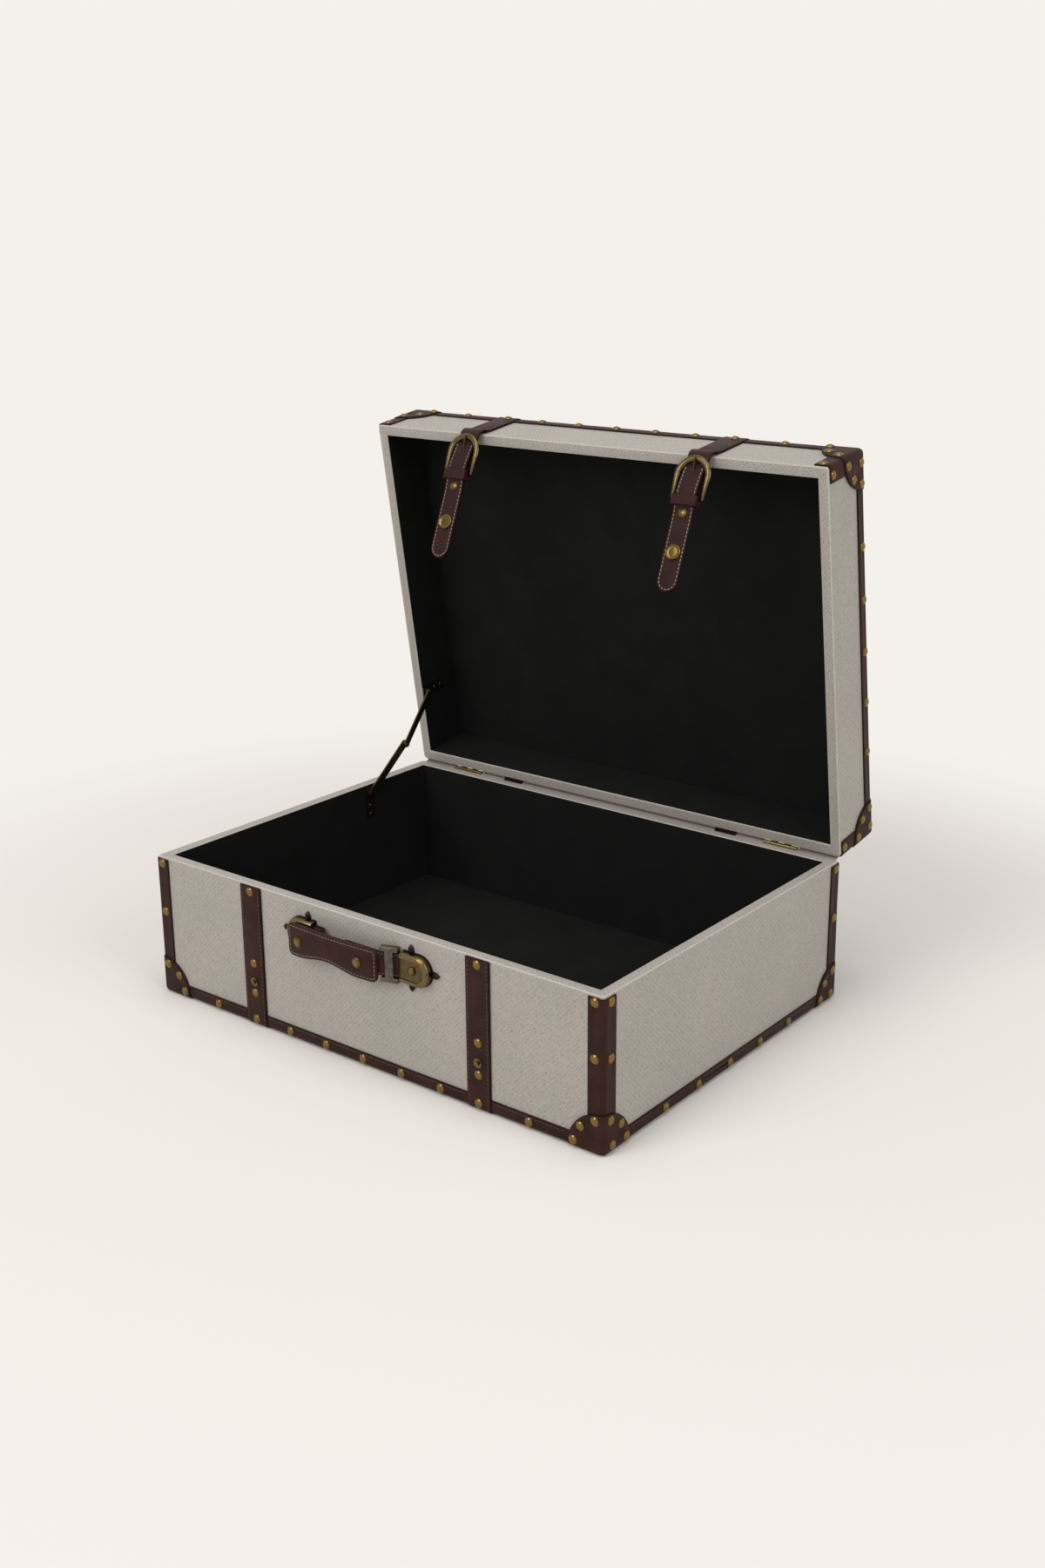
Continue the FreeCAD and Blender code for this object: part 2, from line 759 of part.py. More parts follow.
def end_cap(side):
    """Hollow domed D cap, dished in the middle and open on its inner side."""
    top = handle_cap_rise
    shell = d_plate(side, 0, plate_t, top)
    crown = [edge for edge in shell.Edges if abs(edge.BoundBox.YMax - (front_y - top)) < SAME]
    mouth = side * cap_inner_x
    rounded = [edge for edge in crown if max(abs(edge.BoundBox.XMin - mouth), edge.BoundBox.XLength) > SAME]
    shell = shell.makeFillet(handle_cap_edge_radius, rounded)
    dish_floor = top - handle_cap_dish_depth
    dish_margin = -handle_cap_dish_margin
    dish = d_plate(side, dish_margin, dish_floor, top + handle_cap_wall, 2 * handle_cap_dish_margin)
    hollow = d_plate(side, -handle_cap_wall, plate_t, dish_floor - handle_cap_wall, 2 * handle_cap_wall)
    return shell.cut(dish).cut(hollow)


def cap_rivet_place(side):
    """Seat of the rivet in the middle of an end cap's dish."""
    dish_floor = handle_cap_rise - handle_cap_dish_depth
    return V(side * cap_rivet_x, front_y - dish_floor, handle_height)


def cap_rivet(side):
    """Rivet through an end cap and the leather tab under it."""
    length = handle_cap_rise - handle_cap_dish_depth - plate_t
    sizes = (cap_rivet_radius, cap_rivet_height, grip_rivet_shank_radius, length)
    return button(*sizes, cap_rivet_place(side), Y_AXIS.negative())


def cap_rivet_hole(side):
    """Bore for an end cap's rivet."""
    return shank_hole(grip_rivet_shank_radius, handle_cap_rise, cap_rivet_place(side), Y_AXIS.negative())


def tab_box(x0, x1, out, middle_z):
    """Straight stretch of a leather tab, centred a distance out from the front face."""
    low_x, high_x = sorted((x0, x1))
    back = front_y - out + tab_t / 2
    bottom = middle_z - tab_width / 2
    return block(low_x, high_x, back - tab_t, back, bottom, bottom + tab_width)


def left_tab():
    """Left tab: out of its cap, folded back on itself and riveted under the grip's left end."""
    middle = (tab_low_out + tab_high_out) / 2
    turn = (tab_high_out - tab_low_out) / 2
    bottom = V(-left_tab_turn_x, front_y - middle, handle_height - tab_width / 2)
    outer = Part.makeCylinder(turn + tab_t / 2, tab_width, bottom, Z_AXIS)
    inner = Part.makeCylinder(turn - tab_t / 2, tab_width, bottom, Z_AXIS)
    reach = 2 * tab_high_out
    half_space = block(-left_tab_turn_x, -left_tab_turn_x + reach, front_y - reach, front_y, 0, base_height)
    bend = outer.cut(inner).common(half_space)
    low = tab_box(-tab_root_x, -left_tab_turn_x, tab_low_out, handle_height)
    high = tab_box(grip_left + grip_corner_radius, -left_tab_turn_x, tab_high_out, handle_height)
    return fused(low, bend, high)


def right_tab():
    """Right tab: out of its cap, up through the slider and riveted under the grip's right end."""
    low = tab_box(right_tab_exit_x, tab_root_x, tab_low_out, handle_height)
    end_x = 2 * grip_rivet_right_x - right_tab_top_x
    high = tab_box(end_x, right_tab_top_x, tab_high_out, handle_height)
    half_t = tab_t / 2
    rise = [
        (right_tab_exit_x, tab_low_out - half_t), (right_tab_exit_x, tab_low_out + half_t),
        (right_tab_top_x, tab_high_out + half_t), (right_tab_top_x, tab_high_out - half_t),
    ]
    bottom = handle_height - tab_width / 2
    ramp = prism([V(x, front_y - out, bottom) for x, out in rise], Z_AXIS * tab_width)
    return fused(low, ramp, high)


def slider():
    """Brass slider on the right tab: rails above and below, a wide bar in front and two bars behind."""
    half_l = slider_length / 2
    half_h = slider_height / 2
    seat = tab_t / 2 + slider_gap
    outer = seat + slider_bar_t
    half_bar = slider_bar_width / 2
    rail_z = half_h - slider_rail
    rails = [block(-half_l, half_l, -outer, outer, z, z + slider_rail) for z in (-half_h, rail_z)]
    front_bar = block(-half_bar, half_bar, -outer, -seat, -half_h, half_h)
    back_bars = [block(x, x + slider_back_bar_width, seat, outer, -half_h, half_h)
                 for x in (-half_l, half_l - slider_back_bar_width)]
    whole = fused(*rails, front_bar, *back_bars)
    run = right_tab_exit_x - right_tab_top_x
    rise = tab_high_out - tab_low_out
    whole.rotate(V(), Z_AXIS, math.degrees(math.atan2(rise, run)))
    middle_x = (right_tab_exit_x + right_tab_top_x) / 2
    whole.translate(V(middle_x, front_y - (tab_low_out + tab_high_out) / 2, handle_height))
    return whole


def grip_seat_out():
    """Distance from the front face to the grip's back at its ends."""
    return tab_high_out + tab_t / 2 + grip_seat_gap


def grip_bow_radius():
    """Radius of the grip's back, from its length and its bow."""
    half = (grip_right - grip_left) / 2
    return (half ** 2 + grip_bow ** 2) / (2 * grip_bow)


def grip_bow_centre():
    """Point of the axis that the grip bows about, level with the grip's lower edge."""
    out = grip_seat_out() + grip_bow - grip_bow_radius()
    return V((grip_left + grip_right) / 2, front_y - out, handle_height - grip_drop - grip_height / 2)


def grip_outline(depth):
    """Block of the grip's front view: round corners, and a lower edge waisted between two end lobes."""
    middle_x = (grip_left + grip_right) / 2
    low = grip_bow_centre().z
    outline = block(grip_left, grip_right, front_y - depth, front_y, low, low + grip_height)
    corners = [edge for edge in outline.Edges if edge.BoundBox.YLength > SAME and edge.BoundBox.XLength < SAME
               and edge.BoundBox.ZLength < SAME]
    outline = outline.makeFillet(grip_corner_radius, corners)
    half_waist = (grip_right - grip_left) / 2 - grip_lobe
    radius = (half_waist ** 2 + grip_waist ** 2) / (2 * grip_waist)
    centre = V(middle_x, front_y, low + grip_waist - radius)
    outline = outline.cut(Part.makeCylinder(radius, depth, centre, Y_AXIS.negative()))
    lips = [edge for edge in outline.Edges if edge.BoundBox.ZMax - low < SAME
            and abs(abs(edge.BoundBox.Center.x - middle_x) - half_waist) < SAME]
    return outline.makeFillet(grip_waist_radius, lips)


def grip():
    """Leather grip: a bowed pad of the outline's shape."""
    below = grip_bow_centre() - Z_AXIS * grip_height
    outline = grip_outline(2 * (grip_seat_out() + grip_t + grip_bow))
    face = Part.makeCylinder(grip_bow_radius() + grip_t, 3 * grip_height, below)
    back = Part.makeCylinder(grip_bow_radius(), 3 * grip_height, below)
    return outline.common(face).cut(back)


def grip_front_out(x):
    """Distance from the front face to the grip's front at a place along it."""
    centre = grip_bow_centre()
    rise = math.sqrt((grip_bow_radius() + grip_t) ** 2 - (x - centre.x) ** 2)
    return front_y - centre.y + rise


def grip_rivet_places():
    """Seats of the grip's two rivets."""
    xs = (grip_rivet_left_x, grip_rivet_right_x)
    level = handle_height - grip_drop
    outs = [grip_front_out(x) - grip_rivet_seat for x in xs]
    return [(V(x, front_y - out, level), Y_AXIS.negative()) for x, out in zip(xs, outs)]


def grip_rivets():
    """Rivets that hold the tabs under the grip."""
    sizes = (grip_rivet_radius, grip_rivet_height, grip_rivet_shank_radius, grip_t - grip_rivet_seat)
    return [button(*sizes, place, normal) for place, normal in grip_rivet_places()]


def grip_rivet_holes():
    """Bores for the grip's rivets and the flat seats under their heads."""
    places = grip_rivet_places()
    bores = [shank_hole(grip_rivet_shank_radius, 2 * grip_t, *place) for place in places]
    seats = [Part.makeCylinder(grip_rivet_radius + nail_hole_gap, grip_bow, *place) for place in places]
    return bores + seats


class Stay:
    """Folding two-arm stay on the left wall, drawn at its rest place with the lid open."""

    def __init__(self):
        self.wall_x = -(half_length - wall_t)
        self.plate_x = self.wall_x + stay_plate_t
        self.lower_x = self.plate_x + stay_side_gap
        self.upper_x = self.lower_x + stay_arm_t + stay_spacer
        self.base_pivot = V(0, back_y - stay_base_back, base_height - stay_base_drop)
        self.closed_lid_pivot = V(0, back_y - stay_lid_back, lid_rim_z + stay_lid_rise)
        turn = FreeCAD.Rotation(X_AXIS, -lid_open_angle)
        hinge = V(0, hinge_y, hinge_z)
        self.lid_pivot = hinge + turn.multVec(self.closed_lid_pivot - hinge)
        angle = math.radians(stay_lower_angle)
        self.elbow = self.base_pivot + V(0, math.cos(angle), math.sin(angle)) * stay_lower_length

    def along(self, x, point):
        """Point of a pivot moved to a plane across the box."""
        return V(x, point.y, point.z)

    def plug(self, x0, x1, point, radius):
        """Round boss along X about a pivot."""
        return rod(self.along(x0, point), self.along(x1, point), radius)

    def bar(self, x, start, end, width):
        """Flat arm with round ends between two pivots."""
        radius = width / 2
        ends = [self.plug(x, x + stay_arm_t, point, radius) for point in (start, end)]
        aside = X_AXIS.cross((end - start).normalize()) * radius
        corners = [start + aside, end + aside, end - aside, start - aside]
        return fused(prism([self.along(x, c) for c in corners], X_AXIS * stay_arm_t), *ends)

    def plate(self, pivot, towards):
        """Wall plate that reaches from a lip past the pivot, down into its tray."""
        half = stay_plate_width / 2
        lip = pivot.z - towards * stay_plate_lip
        low, high = sorted((lip, lip + towards * stay_plate_length))
        return block(self.wall_x, self.plate_x, pivot.y - half, pivot.y + half, low, high)

    def screw_places(self, pivot, towards):
        """Screws through a wall plate."""
        drops = (stay_screw_first, stay_screw_first + stay_screw_pitch)
        return [(V(self.plate_x, pivot.y, pivot.z + towards * drop), X_AXIS) for drop in drops]

    def base_bracket(self):
        """Wall plate on the base with the lower arm's pin and its head."""
        pin_end = self.lower_x + stay_arm_t + stay_side_gap
        pin = self.plug(self.plate_x, pin_end, self.base_pivot, stay_pin_radius)
        head = self.plug(pin_end, pin_end + stay_head_height, self.base_pivot, stay_head_radius)
        whole = fused(self.plate(self.base_pivot, -1), pin, head)
        return drilled(whole, screw_holes(self.screw_places(self.base_pivot, -1)))

    def lower_arm(self):
        """Lower arm with the elbow's spacer, pin and head."""
        arm = self.bar(self.lower_x, self.base_pivot, self.elbow, stay_lower_width)
        arm_end = self.lower_x + stay_arm_t
        far = self.upper_x + stay_arm_t + stay_side_gap
        spacer = self.plug(arm_end, self.upper_x - stay_side_gap, self.elbow, stay_head_radius)
        pin = self.plug(arm_end, far, self.elbow, stay_pin_radius)
        head = self.plug(far, far + stay_head_height, self.elbow, stay_head_radius)
        hole = self.plug(self.lower_x, arm_end, self.base_pivot, stay_pin_radius + stay_pin_gap)
        return fused(arm, spacer, pin, head).cut(hole)

    def upper_arm(self):
        """Upper arm with the rivet head at its lid end."""
        arm = self.bar(self.upper_x, self.elbow, self.lid_pivot, stay_upper_width)
        end = self.upper_x + stay_arm_t
        hole = self.plug(self.upper_x, end, self.elbow, stay_pin_radius + stay_pin_gap)
        head = self.plug(end, end + stay_head_height, self.lid_pivot, stay_head_radius)
        return fused(arm, head).cut(hole)

    def lid_bracket(self):
        """Wall plate in the lid with the boss that the upper arm's end turns against."""
        boss = self.plug(self.plate_x, self.upper_x - stay_open_gap, self.closed_lid_pivot, stay_head_radius)
        whole = fused(self.plate(self.closed_lid_pivot, 1), boss)
        return opened(drilled(whole, screw_holes(self.screw_places(self.closed_lid_pivot, 1))))


def build_base(stay):
    """Everything fixed to the lower box."""
    tray = Tray(floor_z, base_height, "bottom_board")
    trim_places = tray.nail_places()
    low_level = tray.from_face(trim_nail_height)
    top_level = tray.from_rim(strip_nail_drop)
    front_levels = [top_level, stud_height + stud_nail_up, stud_height - stud_nail_down, low_level]
    back_levels = [top_level, tray.from_rim(back_strap_nail_drop), low_level]
    strap_places = strap_nail_places(front_levels, back_levels)
    screw_places = stay.screw_places(stay.base_pivot, -1)
    for side in SIDES.values():
        screw_places += hinge_screw_places(side, -1)
    pin_places = [place for side in SIDES.values() for place in plate_pins(side)]
    pin_sizes = (plate_pin_radius, plate_pin_height, nail_shank_radius, nail_shank_length)
    holes = nail_holes(trim_places + strap_places + pin_places) + screw_holes(screw_places)
    save("base_cover", drilled(tray.covering(), holes))
    save("base_lining", drilled(tray.lining(), holes))
    for name, panel in tray.panels().items():
        save("base_" + name, drilled(panel, holes))
    save("base_edge_trim", group([drilled(piece, holes) for piece in tray.edge_trim()]))
    save("base_corner_strips", group([drilled(piece, holes) for piece in tray.corner_strips()]))
    save("base_corner_caps", group([drilled(piece, holes) for piece in tray.corner_caps()]))
    for name, side in SIDES.items():
        save(name + "_base_strap", drilled(tray.strap(side), holes))
    save("hinge_base_leaves", group([hinge_leaf(side, -1, holes) for side in SIDES.values()]))
    save("base_nails", group(nails(trim_places + strap_places)))
    save("base_screws", group(screws(screw_places)))
    save("hinge_pins", group([hinge_pin(side) for side in SIDES.values()]))
    save("snap_studs", group([snap_stud(side) for side in SIDES.values()]))
    save("stay_base_bracket", stay.base_bracket())
    save("handle_end_plates", group([drilled(end_plate(side), holes) for side in SIDES.values()]))
    save("handle_end_caps", group([end_cap(side).cut(cap_rivet_hole(side)) for side in SIDES.values()]))
    save("handle_cap_rivets", group([cap_rivet(side) for side in SIDES.values()]))
    save("handle_plate_pins", group([button(*pin_sizes, *place) for place in pin_places]))
    save("handle_left_tab", left_tab().cut(cap_rivet_hole(-1)))
    save("handle_right_tab", right_tab().cut(cap_rivet_hole(1)))
    save("handle_slider", slider())


def build_handle():
    """Grip that pulls away from the front."""
    save("handle_grip", grip().cut(grip_rivet_holes()))
    save("handle_grip_rivets", group(grip_rivets()))


def build_lid(stay):
    """Everything fixed to the lid, drawn closed and swung open."""
    tray = Tray(lid_face_z, lid_rim_z, "top_board")
    trim_places = tray.nail_places()
    front_levels = [tray.from_face(trim_nail_height)]
    back_levels = [tray.from_face(trim_nail_height), tray.from_rim(strip_nail_drop)]
    strap_places = strap_nail_places(front_levels, back_levels)
    screw_places = stay.screw_places(stay.closed_lid_pivot, 1)
    for side in SIDES.values():
        screw_places += hinge_screw_places(side, 1)
    holes = nail_holes(trim_places + strap_places) + screw_holes(screw_places)
    save("lid_cover", opened(drilled(tray.covering(), holes)))
    save("lid_lining", opened(drilled(tray.lining(), holes)))
    for name, panel in tray.panels().items():
        save("lid_" + name, opened(drilled(panel, holes)))
    save("lid_edge_trim", opened(group([drilled(piece, holes) for piece in tray.edge_trim()])))
    save("lid_corner_strips", opened(group([drilled(piece, holes) for piece in tray.corner_strips()])))
    save("lid_corner_caps", opened(group([drilled(piece, holes) for piece in tray.corner_caps()])))
    lift_z = lid_rim_z + strap_lift_start
    lifted = block(-half_length, half_length, 2 * front_y, front_y, lid_rim_z, lift_z)
    for name, side in SIDES.items():
        strap = fused(tray.strap(side).cut(lifted), FrontStrap(side).lid_part())
        save(name + "_lid_strap", opened(drilled(strap, holes)))
    save("hinge_lid_leaves", opened(group([hinge_leaf(side, 1, holes) for side in SIDES.values()])))
    save("lid_nails", opened(group(nails(trim_places + strap_places))))
    save("lid_screws", opened(group(screws(screw_places))))
    save("stay_lid_bracket", stay.lid_bracket())


def build_front_straps():
    """Buckles and tongues that hang from the lid's front rim."""
    for name, side in SIDES.items():
        strap = FrontStrap(side)
        save(name + "_strap_end", strap.hung(strap.strap_end()))
        save(name + "_buckle_frame", strap.hung(strap.buckle_frame()))
        save(name + "_buckle_prong", strap.hung(strap.prong()))
        save(name + "_tongue", strap.hung_tongue(strap.tongue()))
        save(name + "_keeper", strap.hung_tongue(strap.keeper()))
        save(name + "_tongue_rivet", strap.hung_tongue(strap.tongue_rivet()))
        save(name + "_snap_cap", strap.hung_tongue(strap.snap_cap()))


def build_stay(stay):
    """The two moving arms of the lid stay."""
    save("stay_lower_arm", stay.lower_arm())
    save("stay_upper_arm", stay.upper_arm())


os.makedirs("parts", exist_ok=True)
lid_stay = Stay()
build_base(lid_stay)
build_handle()
build_lid(lid_stay)
build_front_straps()
build_stay(lid_stay)
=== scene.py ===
"""Finishes for a suitcase-style storage trunk: covering, leather, stitching, brass, studio and camera."""
import json
import logging
import math
from bisect import bisect_right
from contextlib import contextmanager
from dataclasses import dataclass
from enum import Enum
from functools import cache, cached_property
from itertools import accumulate, pairwise
from typing import Callable, Iterable, Iterator, Optional, Sequence, Union

import bpy
import numpy as np
from mathutils import Matrix, Vector
from mathutils.geometry import interpolate_bezier


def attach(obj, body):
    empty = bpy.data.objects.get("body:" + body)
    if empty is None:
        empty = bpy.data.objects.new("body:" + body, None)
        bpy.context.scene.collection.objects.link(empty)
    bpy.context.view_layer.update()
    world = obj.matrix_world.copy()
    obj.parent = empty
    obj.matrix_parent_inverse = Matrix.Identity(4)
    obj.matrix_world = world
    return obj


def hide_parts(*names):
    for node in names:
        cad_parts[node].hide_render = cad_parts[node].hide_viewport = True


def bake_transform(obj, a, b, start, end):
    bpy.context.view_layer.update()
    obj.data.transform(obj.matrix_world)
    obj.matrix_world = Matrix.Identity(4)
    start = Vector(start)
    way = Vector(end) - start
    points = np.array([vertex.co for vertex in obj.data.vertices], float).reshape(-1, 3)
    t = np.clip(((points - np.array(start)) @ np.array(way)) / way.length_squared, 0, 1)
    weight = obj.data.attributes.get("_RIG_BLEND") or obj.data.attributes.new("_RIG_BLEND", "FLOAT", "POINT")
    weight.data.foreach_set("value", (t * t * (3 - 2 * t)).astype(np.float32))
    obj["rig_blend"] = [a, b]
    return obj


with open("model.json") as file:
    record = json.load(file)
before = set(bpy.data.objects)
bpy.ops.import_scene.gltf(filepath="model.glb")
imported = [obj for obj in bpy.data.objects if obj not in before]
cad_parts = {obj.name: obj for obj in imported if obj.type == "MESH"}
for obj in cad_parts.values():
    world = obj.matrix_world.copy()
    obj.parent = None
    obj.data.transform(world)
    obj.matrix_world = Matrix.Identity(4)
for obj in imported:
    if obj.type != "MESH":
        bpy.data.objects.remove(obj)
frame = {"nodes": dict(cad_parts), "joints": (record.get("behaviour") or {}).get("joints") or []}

LOG = logging.getLogger("trunk")
MM = 0.001
MERGE = 1e-6
CAD_MERGE = 2e-6
SOFT_ANGLE = 38.0
ROUND_ANGLE = 50.0
FORWARD = Vector((0, -1, 0))
DOWN = Vector((0, 0, -1))
LEFTWARDS = Vector((-1, 0, 0))
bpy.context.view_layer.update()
JOINTS = {joint["name"]: joint for joint in frame["joints"]}
STRAP_X = abs(JOINTS["right_strap_fold"]["pos_m"][0])
HINGE = Vector(JOINTS["lid_hinge"]["pos_m"])
OPENING = math.radians(JOINTS["lid_hinge"]["range_deg"][1])
LID_SWING = Matrix.Translation(HINGE) @ Matrix.Rotation(-OPENING, 4, "X") @ Matrix.Translation(-HINGE)
Colour = tuple[float, float, float]
Spot = tuple[float, float]
Socket = Union[bpy.types.NodeSocket, float, Sequence[float]]


class Side(Enum):
    """The two ends of the box along its length."""

    LEFT = -1
    RIGHT = 1


class Half(Enum):
    """The two halves of the box, by the name of the body that carries them."""

    BASE = "base"
    LID = "lid"


class Graph:
    """Short-hand for adding and linking the nodes of one shader tree."""

    def __init__(self, tree: bpy.types.NodeTree) -> None:
        """Keep the tree that the nodes go into."""
        self.tree = tree

    def feed(self, node: bpy.types.Node, inputs: dict) -> None:
        """Set or link some inputs of a node.

        Args:
            node: The node to feed.
            inputs: Values or sockets by the input's name or index.
        """
        for key, value in inputs.items():
            if isinstance(value, bpy.types.NodeSocket):
                self.tree.links.new(value, node.inputs[key])
            else:
                node.inputs[key].default_value = value

    def add(self, kind: str, inputs: Optional[dict] = None, **settings: object) -> bpy.types.Node:
        """Add one node.

        Args:
            kind: The node's type without its prefix.
            inputs: Values or sockets by the input's name or index.
            settings: The node's own properties.

        Returns:
            The new node.
        """
        node = self.tree.nodes.new("ShaderNode" + kind)
        for key, value in settings.items():
            setattr(node, key, value)
        self.feed(node, inputs or {})
        return node

    def group(self, tree: bpy.types.NodeTree, **inputs: Socket) -> bpy.types.NodeOutputs:
        """Place a shader group and return its outputs."""
        return self.add("Group", inputs, node_tree=tree).outputs

    def math(self, operation: str, *values: Socket) -> bpy.types.NodeSocket:
        """Add a math node and return its output."""
        return self.add("Math", dict(enumerate(values)), operation=operation).outputs[0]

    def ramp(self, value: Socket, low: float, high: float, to_low: float = 0.0,
             to_high: float = 1.0) -> bpy.types.NodeSocket:
        """Add a smooth map from one range to another and return its output."""
        inputs = {"Value": value, "From Min": low, "From Max": high, "To Min": to_low, "To Max": to_high}
        return self.add("MapRange", inputs, interpolation_type="SMOOTHSTEP").outputs[0]

    def blend(self, factor: Socket, first: Socket, second: Socket) -> bpy.types.NodeSocket:
        """Add a colour mix and return its output."""
        return self.add("Mix", {0: factor, 6: first, 7: second}, data_type="RGBA").outputs[2]

    def noise(self, vector: Socket, scale: Socket, detail: float = 3.0, output: str = "Fac") -> Socket:
        """Add a noise texture and return its value, or its colour if asked."""
        return self.add("TexNoise", {"Vector": vector, "Scale": scale, "Detail": detail}).outputs[output]

    def bump(self, height: Socket, depth: float, strength: float) -> bpy.types.NodeSocket:
        """Add a bump of a depth in metres and return its normal."""
        return self.add("Bump", {"Height": height, "Distance": depth, "Strength": strength}).outputs[0]


def shader_group(name: str, inputs: dict[str, Optional[float]], outputs: Sequence[str]) -> tuple:
    """Start a shader node group.

    Args:
        name: The group's name.
        inputs: Default of each input by its name, or None for a vector.
        outputs: Name of each output, all of them values.

    Returns:
        The group's graph, its input sockets and its output node.
    """
    tree = bpy.data.node_groups.new(name, "ShaderNodeTree")
    for label, default in inputs.items():
        kind = "NodeSocketVector" if default is None else "NodeSocketFloat"
        socket = tree.interface.new_socket(label, in_out="INPUT", socket_type=kind)
        if default is not None:
            socket.default_value = default
    for label in outputs:
        tree.interface.new_socket(label, in_out="OUTPUT", socket_type="NodeSocketFloat")
    return Graph(tree), tree.nodes.new("NodeGroupInput").outputs, tree.nodes.new("NodeGroupOutput")


@cache
def weave_group() -> bpy.types.NodeTree:
    """Build the group for a diagonal basket-weave emboss on the flat sides of a box.

    Returns:
        The group's tree.
    """
    inputs = {"Vector": None, "Normal": None, "Pitch": 0.0036, "Irregularity": 0.2}
    g, given, end = shader_group("basket_weave", inputs, ("Height", "Pits", "Mottle"))
    spot = given["Vector"]
    facing = g.add("VectorMath", {0: given["Normal"]}, operation="ABSOLUTE").outputs[0]
    sides = g.add("SeparateXYZ", {0: facing}).outputs
    on_x = g.math("MULTIPLY", *(g.math("GREATER_THAN", sides[0], sides[other]) for other in (1, 2)))
    on_z = g.math("MULTIPLY", *(g.math("GREATER_THAN", sides[2], sides[other]) for other in (1, 0)))
    x, y, z = g.add("SeparateXYZ", {0: spot}).outputs
    across = g.math("MULTIPLY_ADD", on_x, g.math("SUBTRACT", y, x), x)
    upward = g.math("MULTIPLY_ADD", on_z, g.math("SUBTRACT", y, z), z)
    step = g.math("MULTIPLY", given["Pitch"], math.sqrt(2))
    drift = g.add("SeparateColor", {0: g.noise(spot, 160.0, 2.0, "Color")}).outputs
    lanes = []
    for index, operation in enumerate(("ADD", "SUBTRACT")):
        lane = g.math("DIVIDE", g.math(operation, across, upward), step)
        sway = g.math("MULTIPLY", g.math("SUBTRACT", drift[index], 0.5), given["Irregularity"])
        lanes.append(g.math("MULTIPLY_ADD", sway, 6.0, lane))
    waves = [g.math("SINE", g.math("MULTIPLY", g.math("FRACT", lane), math.pi)) for lane in lanes]
    corner = g.math("MULTIPLY", *(g.math("SUBTRACT", 1.0, wave) for wave in waves))
    depth = g.ramp(g.noise(spot, 330.0), 0.36, 0.66, 0.2, 1.0)
    pit = g.math("MULTIPLY", g.ramp(corner, 0.12, 0.72), depth)
    odd = g.math("FLOORED_MODULO", g.math("ADD", *(g.math("FLOOR", lane) for lane in lanes)), 2.0)
    strand = g.math("MULTIPLY_ADD", odd, g.math("SUBTRACT", waves[1], waves[0]), waves[0])
    cushion = g.math("MULTIPLY_ADD", strand, 0.07, 0.93)
    patches = g.math("MULTIPLY", g.noise(spot, 260.0, 2.0), 0.6)
    g.feed(end, {"Height": g.math("SUBTRACT", cushion, g.math("MULTIPLY", pit, 0.75)),
                 "Pits": pit,
                 "Mottle": g.math("MULTIPLY_ADD", g.noise(spot, 14.0), 0.4, patches)})
    return g.tree


@cache
def grain_group() -> bpy.types.NodeTree:
    """Build the group for leather grain: pebbled cells, fine creases and slow mottling.

    Returns:
        The group's tree.
    """
    inputs = {"Vector": None, "Cells": 900.0}
    g, given, end = shader_group("leather_grain", inputs, ("Height", "Creases", "Mottle"))
    spot = given["Vector"]
    bent = g.noise(spot, 500.0, 2.0, "Color")
    nudge = g.add("VectorMath", {0: bent, 1: (0.0006, 0.0006, 0.0006)}, operation="MULTIPLY").outputs[0]
    near = g.add("VectorMath", {0: spot, 1: nudge}, operation="ADD").outputs[0]
    cells = g.add("TexVoronoi", {"Vector": near, "Scale": given["Cells"]}, feature="DISTANCE_TO_EDGE")
    pebble = g.ramp(cells.outputs[0], 0.0, 0.22)
    g.feed(end, {"Height": g.math("MULTIPLY_ADD", g.noise(spot, 2600.0, 2.0), 0.25, pebble),
                 "Creases": g.math("SUBTRACT", 1.0, pebble),
                 "Mottle": g.noise(spot, 55.0, 4.0)})
    return g.tree


@cache
def patina_group() -> bpy.types.NodeTree:
    """Build the group for aged metal: dark patina in patches, and fine scratches.

    Returns:
        The group's tree.
    """
    g, given, end = shader_group("aged_metal", {"Vector": None, "Age": 0.5}, ("Patina", "Height"))
    spot = given["Vector"]
    specks = g.math("MULTIPLY", g.noise(spot, 1100.0), 0.3)
    patch = g.math("MULTIPLY_ADD", g.noise(spot, 240.0, 5.0), 0.7, specks)
    worn = g.math("ADD", patch, g.math("SUBTRACT", given["Age"], 0.5))
    streaked = g.add("Mapping", {"Vector": spot, "Scale": (1.0, 0.15, 1.0)}).outputs[0]
    g.feed(end, {"Patina": g.ramp(worn, 0.42, 0.72), "Height": g.noise(streaked, 3500.0, 2.0)})
    return g.tree


@cache
def fibre_group() -> bpy.types.NodeTree:
    """Build the group for fibrous stuff: single fibres, and patches of them.

    Returns:
        The group's tree.
    """
    g, given, end = shader_group("fibres", {"Vector": None, "Scale": 900.0}, ("Height", "Patches"))
    fibres = g.noise(given["Vector"], given["Scale"], 4.0)
    patch = g.noise(given["Vector"], g.math("DIVIDE", given["Scale"], 30.0))
    mixed = g.math("MULTIPLY_ADD", fibres, 0.5, g.math("MULTIPLY", patch, 0.5))
    g.feed(end, {"Height": fibres, "Patches": g.ramp(mixed, 0.35, 0.65)})
    return g.tree


def new_material(name: str) -> tuple[bpy.types.Material, Graph, bpy.types.Node, bpy.types.NodeSocket]:
    """Start a material.

    Args:
        name: The material's name.

    Returns:
        The material, its graph, its Principled node and the object coordinates.
    """
    material = bpy.data.materials.new(name)
    material.use_nodes = True
    graph = Graph(material.node_tree)
    surface = material.node_tree.nodes["Principled BSDF"]
    return material, graph, surface, graph.add("TexCoord").outputs["Object"]


